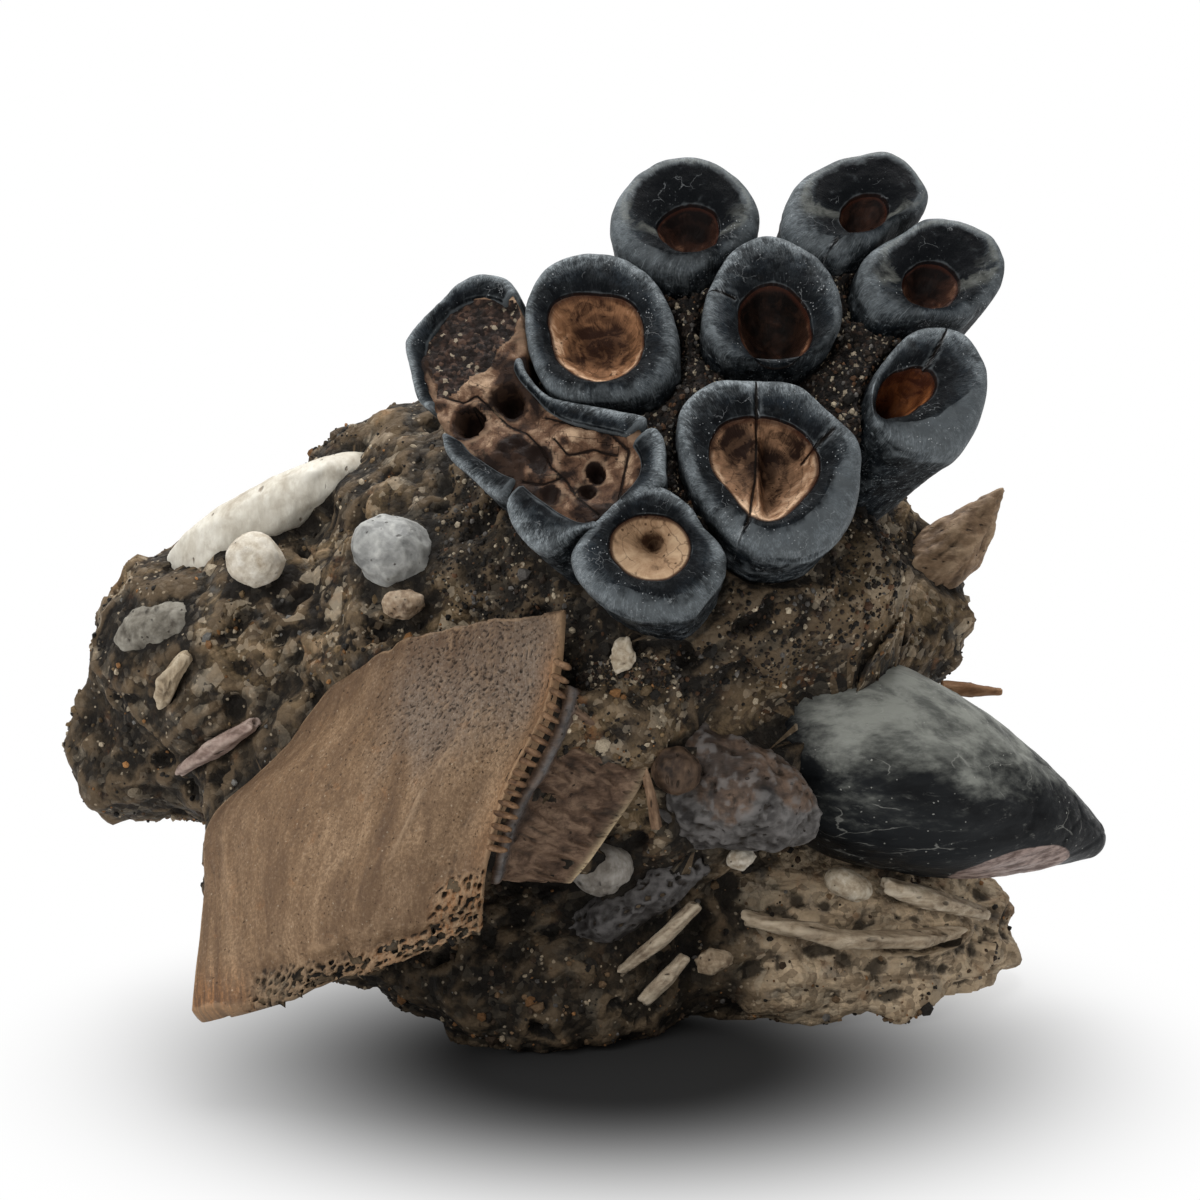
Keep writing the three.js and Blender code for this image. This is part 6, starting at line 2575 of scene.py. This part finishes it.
@dataclass
class MatrixBlock:
    """The block of cemented sand and gravel that everything is bedded in. Sizes are in millimetres.

    The pillars are cut off below a depth of theirs and join the block's skin. The skin is flat below
    its foot, and it runs on over a piece inside the outline of the crust, seen from the front.
    """

    node: str = "matrix_block"
    voxel: float = 0.8
    cut: float = -13.0
    foot: float = 0.35
    broad: Sequence[str] = ("bone_plate", "bone_flange", "second_tooth", "knuckle_bone", "white_slab")
    facing: Point3 = (0.0, -0.8, 0.6)
    crust: Sequence[Point2] = (
        (-1.2, 50.5), (-3.6, 44.0), (-4.6, 41.2), (-2.2, 40.4), (2.0, 39.2), (6.0, 40.6), (9.5, 44.0),
        (8.0, 52.0))

    def pressed(self, points: Array, normals: Array, tree: BVHTree, reach: float, depth: float,
                seated: Array, free: Array) -> tuple[Array, Array]:
        """Finds where the skin would hide a bedded piece, and how far to press it in behind the piece.

        Args:
            points: the skin's points.
            normals: the skin's normals.
            tree: the surfaces of the pieces.
            reach: how far in front of a piece the skin may lie and still be pressed in.
            depth: how far behind the piece's surface it goes.
            seated: where the skin runs over a piece's CAD shape.
            free: where it may be pressed at all.

        Returns:
            The way to move each point, and which points move.
        """
        push, moved = np.zeros_like(points), np.zeros(len(points), bool)
        front = Vector(self.facing)
        for k in np.nonzero(free)[0]:
            point = Vector(points[k])
            place, normal, _, distance = tree.find_nearest(point, max(reach, 3.0))
            if place is None:
                continue
            above = (point - place).dot(normal)
            shades = above > 0.7 * distance and distance < reach and normal.dot(front) > 0.45
            if above < 0 and distance > depth:
                moved[k] = seated[k]
            elif above < 0 or seated[k] or (shades and normal.dot(Vector(normals[k])) > 0.2):
                push[k] = place - normal * depth - point
                moved[k] = True
        return push, moved

    def buried_pillars(self, bm: bmesh.types.BMesh) -> None:
        """Adds the pillars' buried ends, so that the skin closes under the tooth.

        Args:
            bm: the block's own shape.
        """
        foot, head = (from_tooth(np.array([[*ROOT_CENTRE, z]])) for z in (self.cut - 10, self.cut))
        along = (head - foot)[0] / np.linalg.norm(head - foot)
        for name in [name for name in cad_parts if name.startswith("tooth_")]:
            pillar = solid_copy(name)
            everything = pillar.verts[:] + pillar.edges[:] + pillar.faces[:]
            cut = bmesh.ops.bisect_plane(pillar, geom=everything, plane_co=tuple(head[0] * MM),
                                         plane_no=tuple(along), clear_outer=True)["geom_cut"]
            rim = [item for item in cut if isinstance(item, bmesh.types.BMEdge)]
            bmesh.ops.holes_fill(pillar, edges=rim, sides=0)
            pour(pillar, bm)

    def skin(self) -> Mesh:
        """A closed skin over the block with its thick pieces in their seats.

        Returns:
            The closed mesh.
        """
        bm = solid_copy(self.node)
        self.buried_pillars(bm)
        for name in THICK_NODES:
            pour(solid_copy(name), bm)
        return remeshed(self.node, bm, self.voxel)

    def tucked(self, points: Array, normals: Array, edges: Array, crust: Array,
               pieces: Sequence[Piece]) -> tuple[Array, Array]:
        """Presses the skin in behind the bedded pieces that it would hide.

        Args:
            points: the skin's points.
            normals: the skin's normals.
            edges: the skin's edges.
            crust: where it runs on over the pieces.
            pieces: the finished bedded pieces.

        Returns:
            The way to move each point, and which points are behind a piece.
        """
        bare = solid_copy(self.node)
        bmesh.ops.scale(bare, vec=(1 / MM,) * 3, verts=bare.verts[:])
        seated = np.abs(how_near(BVHTree.FromBMesh(bare), points, 3)) > 0.5
        bare.free()
        broad = [piece for piece in pieces if piece.name.split("_w")[0] in self.broad]
        small = [piece for piece in pieces if piece not in broad]
        chip, tooth = (surface_tree([piece for piece in pieces if piece.name.startswith(name)])
                       for name in ("tan_chip", "second_tooth"))
        free = ~crust & (how_near(chip, points, 6) >= 1.8)
        skin = points, normals
        push, hidden = self.pressed(*skin, surface_tree(broad), 4.6, 0.7, seated & ~crust, free)
        recess = ~crust & ~hidden & (points[:, 2] > 40) & (points[:, 0] > 19)
        sunken, buried = self.pressed(*skin, tooth, 11.0, 1.0, np.zeros_like(seated), recess)
        push, hidden = push + sunken, hidden | buried
        nudge, under = self.pressed(*skin, surface_tree(small), 1.3, 0.5, seated & ~hidden, ~hidden)
        push, hidden = push + nudge, hidden | under
        spread = push
        for _ in range(6):
            spread = np.where(hidden[:, None], push, smoothed(edges, spread, 1, 0.7))
        return spread, hidden

    @staticmethod
    def relief(points: Array, site: Array, warm: Array) -> Array:
        """Lumps, clasts and pits in millimetres, with wavy layers where the rock is warm.

        Args:
            points: the skin's points.
            site: the same in the drawing's coordinates.
            warm: where the rock is brown and fibrous, from 0 to 1.

        Returns:
            The heights, shape (n,).
        """
        first, _, name = cells(points, 4.6, 201)
        clast = 1.1 * np.clip(0.62 - first, 0, 1) * np.where(name < 0.45, 2.2, 0.5)
        hole, _, lucky = cells(points + 2.2 * fractal(points, 5, 2, 203)[:, None], 4.6, 202)
        pits = -2.3 * ease(0.55 - hole, 0.0, 0.35) * (lucky < 0.3) * (1 - 0.75 * warm)
        tilt = math.radians(14)
        layer = site[:, 2] * math.cos(tilt) + site[:, 0] * math.sin(tilt)
        layers = columns(site[:, 0] * 0.28, site[:, 1] * 0.4, layer)
        height = 1.7 * fractal(points, 9, 3, 204) + clast + pits + 0.5 * fractal(points, 2.2, 3, 205)
        return height + warm * (1.9 * fractal(layers, 4.2, 3, 206, 0.6) - 0.3)

    @staticmethod
    def soot(points: Array, site: Array, normals: Array, near_tooth: Array, near_piece: Array) -> Array:
        """How black the rock is painted: dark matrix and painted shade close to the tooth and round the
        pieces, painted shade underneath, and darker low down, at the lower left and in patches on top.

        Args:
            points: the skin's points.
            site: where they were, in the drawing's coordinates.
            normals: the skin's normals.
            near_tooth: how near the tooth is.
            near_piece: how near the bedded pieces are.

        Returns:
            The darkness, from 0 up, shape (n,).
        """
        wander = 5 * fractal(points, 12, 3, 207)
        x, z = site[:, 0] + wander, site[:, 2] + wander
        # Painted shade round the pieces and on faces that turn down, with dark matrix and painted shade by
        # the tooth.
        return np.maximum.reduce([
            (1 - ease(near_tooth + 1.6 * wander, 3.0, 20.0)) * (1 - 0.5 * ease(site[:, 0], 16, 30)),
            0.75 * (1 - ease(near_piece + 0.4 * wander, 0.5, 4.0)),
            ease(z, 30, 14) * ease(x, 34, 20) * 0.9,
            0.6 * ease(-normals[:, 2], 0.1, 0.7),
            0.7 * ease(z, 47, 39) * ease(x, -28, -38),
            0.8 * ease(z, 54, 66) * ease(fractal(points, 7, 3, 208), -0.3, 0.3)])

    def build(self, pieces: Sequence[Piece], tooth: Sequence[Piece]) -> Piece:
        """Builds the block and roughens it where it is in sight.

        Args:
            pieces: the finished bedded pieces.
            tooth: the finished pillars and the fill between them.

        Returns:
            The block.
        """
        mesh = self.skin()
        edges = edges_of(mesh)
        points = points_of(mesh)
        ground = points[:, 2] < self.foot
        points = smoothed(edges, points, 2, 0.5)
        move_points(mesh, points)
        normals = smoothed(edges, normals_of(mesh), 2, 0.5)
        normals /= np.maximum(lengths(normals), 1e-6)[:, None]
        crust = within(even_line(self.crust, 80, closed=True), points[:, [0, 2]] - DRAWING[[0, 2]])
        crust &= (points[:, 1] - DRAWING[1] < -8) & (points[:, 1] - DRAWING[1] > -30)
        push, hidden = self.tucked(points, normals, edges, crust, pieces)
        near_piece = how_near(surface_tree(pieces), points, 6)
        near_tooth = how_near(surface_tree(tooth), points, 22)
        nearest = np.minimum(near_piece, near_tooth)
        site = points - DRAWING
        warm = ease(site[:, 0], 12, 26) * ease(site[:, 2], 36, 24) * ease(site[:, 1], 40, 10)
        height = self.relief(points, site, warm)
        outer = np.where(nearest < 2.5, np.minimum(height, 0.25 * np.maximum(nearest, 0)), height)
        outer = np.where(crust, 0.5 + 0.8 * height, outer)
        sunk = np.where(near_tooth < 0.3, -0.8 * ease(near_tooth, 0.3, -0.4), 0.0)
        lift = outer * np.where(crust, 1, ease(nearest, -0.6, 0.8)) + sunk
        points = points + normals * np.where(hidden | ground, 0.0, lift)[:, None] + push
        strained = ~hidden & ~ground & (lengths(push) > 0.15)
        for _ in range(5):
            points = np.where(strained[:, None], smoothed(edges, points, 1, 0.7), points)
        points[:, 2] = np.where(ground, 0.0, np.maximum(points[:, 2], 0.0))
        move_points(mesh, points)
        open_air = ((nearest > 0.35) | crust) & ~ground & ~hidden
        paint(mesh, "open", open_air * np.where(crust, 5.0, 1.0))
        # How black to paint the rock: dark matrix, and painted shade underneath and round the pieces.
        soot = self.soot(points, site, normals, near_tooth, near_piece) * (1 - 0.8 * warm)
        paint(mesh, "soot", np.clip(np.where(crust, 0.35, soot), 0, 1))
        paint(mesh, "warm", warm)
        paint_hollows(mesh, 6)
        return shown(mesh, f"{self.node}_rough", Slot.MATRIX, [self.node], RockFinish().material())


class Zone(Enum):
    """Where loose grains lie, which decides their colours."""

    TOOTH = "between the pillars"
    TOP = "on the block's upper side"
    LOW = "on its lower side"


@dataclass
class Grit:
    """Loose grains and gravel stuck all over the block and between the pillars.

    Each heap has the radius of its smallest and its largest grains in millimetres, and how often one
    grain is doubled.
    """

    heaps: Sequence[tuple[float, float, int]] = ((0.14, 0.5, 13), (0.16, 0.55, 12), (0.4, 1.3, 9))
    seed: int = 5
    tones: dict[Zone, Sequence[tuple[float, Colour]]] = field(default_factory=lambda: {
        Zone.TOOTH: (
            (0.5, (0.01, 0.008, 0.006)), (0.24, (0.032, 0.021, 0.014)), (0.08, (0.1, 0.05, 0.025)),
            (0.1, (0.42, 0.35, 0.25)), (0.08, (0.12, 0.11, 0.1))),
        Zone.TOP: (
            (0.27, (0.014, 0.011, 0.008)), (0.22, (0.062, 0.042, 0.024)), (0.2, (0.15, 0.1, 0.05)),
            (0.08, (0.24, 0.115, 0.04)), (0.16, (0.46, 0.38, 0.27)), (0.07, (0.13, 0.125, 0.115))),
        Zone.LOW: (
            (0.24, (0.014, 0.011, 0.008)), (0.24, (0.055, 0.034, 0.02)), (0.24, (0.17, 0.105, 0.055)),
            (0.1, (0.25, 0.12, 0.045)), (0.12, (0.4, 0.32, 0.22)), (0.06, (0.12, 0.11, 0.1))),
    })

    def beds(self, grounds: Sequence[tuple[Piece, float]]) -> tuple[Array, Array, Array]:
        """Faces that grains may lie on, from pieces whose points store `open`.

        Args:
            grounds: pieces, each with how thickly it is strewn.

        Returns:
            The faces' corners, shape (n, 3, 3), their normals, and how likely each is to get a grain.
        """
        corners, normals, weights = [], [], []
        for piece, thick in grounds:
            mesh = piece.data
            mesh.calc_loop_triangles()
            flat = np.empty(len(mesh.loop_triangles) * 3, np.int32)
            mesh.loop_triangles.foreach_get("vertices", flat)
            triple = flat.reshape(-1, 3)
            open_air = stored(mesh, "open")
            at = points_of(mesh)[triple]
            normal = np.cross(at[:, 1] - at[:, 0], at[:, 2] - at[:, 0])
            area = lengths(normal)
            free = (open_air[triple].min(axis=1) > 0.5) & (area > 1e-6)
            corners.append(at[free])
            normals.append(normal[free] / area[free, None])
            weights.append(area[free] * thick * open_air[triple[free]].mean(axis=1))
        return np.concatenate(corners), np.concatenate(normals), np.concatenate(weights)

    def heap(self, k: int, corners: Array, normals: Array, weights: Array, finish: Material,
             least: float, most: float, doublings: int) -> Piece:
        """Strews one heap of grains.

        Args:
            k: the heap's number.
            corners: the faces to strew.
            normals: their directions.
            weights: how likely each face is.
            finish: the grains' material.
            least: the radius of the smallest grains, in millimetres.
            most: the radius of the largest.
            doublings: how often one grain is doubled.

        Returns:
            The heap as one piece.
        """
        rng = np.random.default_rng(self.seed + k)
        mesh = bpy.data.meshes.new(f"grit_{k}")
        with editing(mesh) as bm:
            bmesh.ops.create_icosphere(bm, subdivisions=1, radius=1.0)
            for _ in range(doublings):
                bmesh.ops.duplicate(bm, geom=bm.verts[:] + bm.edges[:] + bm.faces[:])
        count = 2**doublings
        unit = (points_of(mesh) * MM).reshape(count, -1, 3)
        chosen = rng.choice(len(weights), count, p=weights / weights.sum())
        share = rng.random((count, 2))
        share = np.where(share.sum(axis=1, keepdims=True) > 1, 1 - share, share)
        at = corners[chosen]
        spot = at[:, 0] + share[:, :1] * (at[:, 1] - at[:, 0]) + share[:, 1:] * (at[:, 2] - at[:, 0])
        radius = least * (most / least) ** (rng.random(count) ** 2.2)
        form = unit * (1 + rng.uniform(-0.28, 0.28, unit.shape))
        form = form * rng.uniform(0.6, 1.25, (count, 1, 3)) * radius[:, None, None]
        turn = np.linalg.qr(rng.normal(size=(count, 3, 3)))[0]
        turn *= np.where(np.linalg.det(turn) < 0, -1, 1)[:, None, None]
        form = np.einsum("nij,nkj->nki", turn, form)
        sunk = spot + normals[chosen] * (radius * rng.uniform(-0.35, 0.35, count))[:, None]
        places = form + sunk[:, None, :]
        places[:, :, 2] = np.maximum(places[:, :, 2], 0.02)
        move_points(mesh, places.reshape(-1, 3))
        paint(mesh, "tone", np.repeat(columns(self.colours(rng, sunk), 1.0), unit.shape[1], axis=0))
        return shown(mesh, f"grit_{k}", Slot.MATRIX, [], finish, smooth=False)

    @staticmethod
    def by_tooth(site: Array) -> Array:
        """Whether places, in the drawing's coordinates, are among the pillars or close under them.

        Args:
            site: the places, shape (n, 3).

        Returns:
            True for each place that is.
        """
        off = site - TOOTH_PLACE
        cos, sin = math.cos(TOOTH_TILT), math.sin(TOOTH_TILT)
        own = off[:, 0], off[:, 1] * cos + off[:, 2] * sin, -off[:, 1] * sin + off[:, 2] * cos
        return np.all([(row > low) & (row < high) for row, (low, high) in zip(own, TOOTH_ZONE)], axis=0)

    def colours(self, rng: np.random.Generator, spots: Array) -> Array:
        """A colour for each grain, from its zone's tones.

        Args:
            rng: the source of chance.
            spots: the grains' places in millimetres.

        Returns:
            Colours, shape (n, 3).
        """
        site = spots - DRAWING
        near = self.by_tooth(site)
        low = site[:, 2] < 26 + 6 * smooth_noise(spots, 14, 9)
        places = {Zone.TOOTH: near, Zone.TOP: ~near & ~low, Zone.LOW: ~near & low}
        result = np.zeros((len(spots), 3))
        for zone, here in places.items():
            shares, tones = (np.array(part) for part in zip(*self.tones[zone]))
            pick = rng.choice(len(shares), len(spots), p=shares / shares.sum())
            result[here] = tones[pick[here]]
        return result * np.exp(rng.normal(0, 0.28, (len(spots), 1)))

    def build(self, grounds: Sequence[tuple[Piece, float]]) -> list[Piece]:
        """Strews every heap, the last of them with coarser gravel.

        Args:
            grounds: pieces, each with how thickly it is strewn.

        Returns:
            The heaps.
        """
        finish = GritFinish().material()
        corners, normals, weights = self.beds(grounds)
        place = corners[:, 0]
        near = self.by_tooth(place - DRAWING)
        patchy = ease(fractal(place, 9, 4, 301), -0.1, 0.7)
        shares = (np.where(near, 1.0, 0.05), 0.1 + patchy**2, 0.2 + patchy)
        return [self.heap(k, corners, normals, weights * share, finish, *heap)
                for k, (share, heap) in enumerate(zip(shares, self.heaps))]


# ---- studio ----


@dataclass
class Studio:
    """The camera, the lights and the pale floor."""

    eye: Point3 = (2.556, -311.2, 118.37)
    pitch: float = 78.0
    lens: float = 72.0
    ambient: float = 0.42
    key: float = 5.6
    fill: float = 3.0
    floor_size: float = 1.6

    def camera(self) -> None:
        """Sets up the camera."""
        data = bpy.data.cameras.new("camera")
        data.lens, data.sensor_width = self.lens, 36.0
        data.clip_start, data.clip_end = 0.01, 20.0
        holder = placed("camera", data)
        holder.location = [value * MM for value in self.eye]
        holder.rotation_euler = (math.radians(self.pitch), 0.0, 0.0)
        bpy.context.scene.camera = holder

    def softbox(self, name: str, place: Point3, size: float, power: float, target: Point3) -> None:
        """Hangs a soft square light, aimed at a target. Places are in metres.

        Args:
            name: the light's name.
            place: where it hangs.
            size: the length of its side.
            power: its power in watts.
            target: what it is aimed at.
        """
        data = bpy.data.lights.new(name, "AREA")
        data.shape = "SQUARE"
        data.size = size
        data.energy = power
        holder = placed(name, data)
        holder.location = place
        aim = Vector(target) - Vector(place)
        holder.rotation_euler = aim.to_track_quat("-Z", "Y").to_euler()

    def world(self) -> None:
        """A white backdrop to the camera, and a softer surround for everything else."""
        world = bpy.data.worlds.new("studio")
        world.use_nodes = True
        graph = Graph(world.node_tree)
        graph.tree.nodes.clear()
        seen = graph.add("LightPath").outputs["Is Camera Ray"]
        strength = graph.step(seen, 0.0, 1.0, (self.ambient, 1.0))
        sky = graph.add("Background", {"Color": (1.0, 1.0, 1.0), "Strength": strength})
        graph.add("OutputWorld", {"Surface": sky.outputs["Background"]})
        bpy.context.scene.world = world

    def floor(self) -> None:
        """Lays the floor, with its painted shadow."""
        mesh = bpy.data.meshes.new("studio_floor")
        with editing(mesh) as bm:
            bmesh.ops.create_grid(bm, x_segments=8, y_segments=8, size=self.floor_size)
        mesh.materials.append(StudioFinish().material())
        placed("studio_floor", mesh)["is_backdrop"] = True

    def build(self) -> None:
        """Sets up everything round the object."""
        bpy.context.scene.view_settings.view_transform = "Standard"
        self.camera()
        self.world()
        self.floor()
        centre = (0.0, 0.0, 0.045)
        self.softbox("key", (0.0, 0.3, 0.72), 0.5, self.key, centre)
        self.softbox("fill", (-0.42, -0.55, 0.52), 0.5, self.fill, centre)


def main() -> None:
    """Builds every piece, in order."""
    logging.basicConfig(level=logging.INFO, format="%(message)s")
    Studio().build()
    tooth = [pillar.build() for pillar in SINGLE_PILLARS]
    tooth.append(DoublePillar().build())
    fill = GapFill().build()
    plate = BonePlate()
    pieces = [plate.build(), plate.suture(), BoneFlange().build(), SecondTooth().build()]
    pieces += [piece.build() for piece in bedded_pieces()]
    block = MatrixBlock().build(pieces, [*tooth, fill])
    Grit().build([(block, 1.0), (fill, 1.5)])
    boxes = {name: [list(corner) for corner in box]
             for name, box in (("cad", CAD_BOX), ("visual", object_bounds()))}
    log.info("boxes: %s", boxes)


if __name__ == "__main__":
    main()
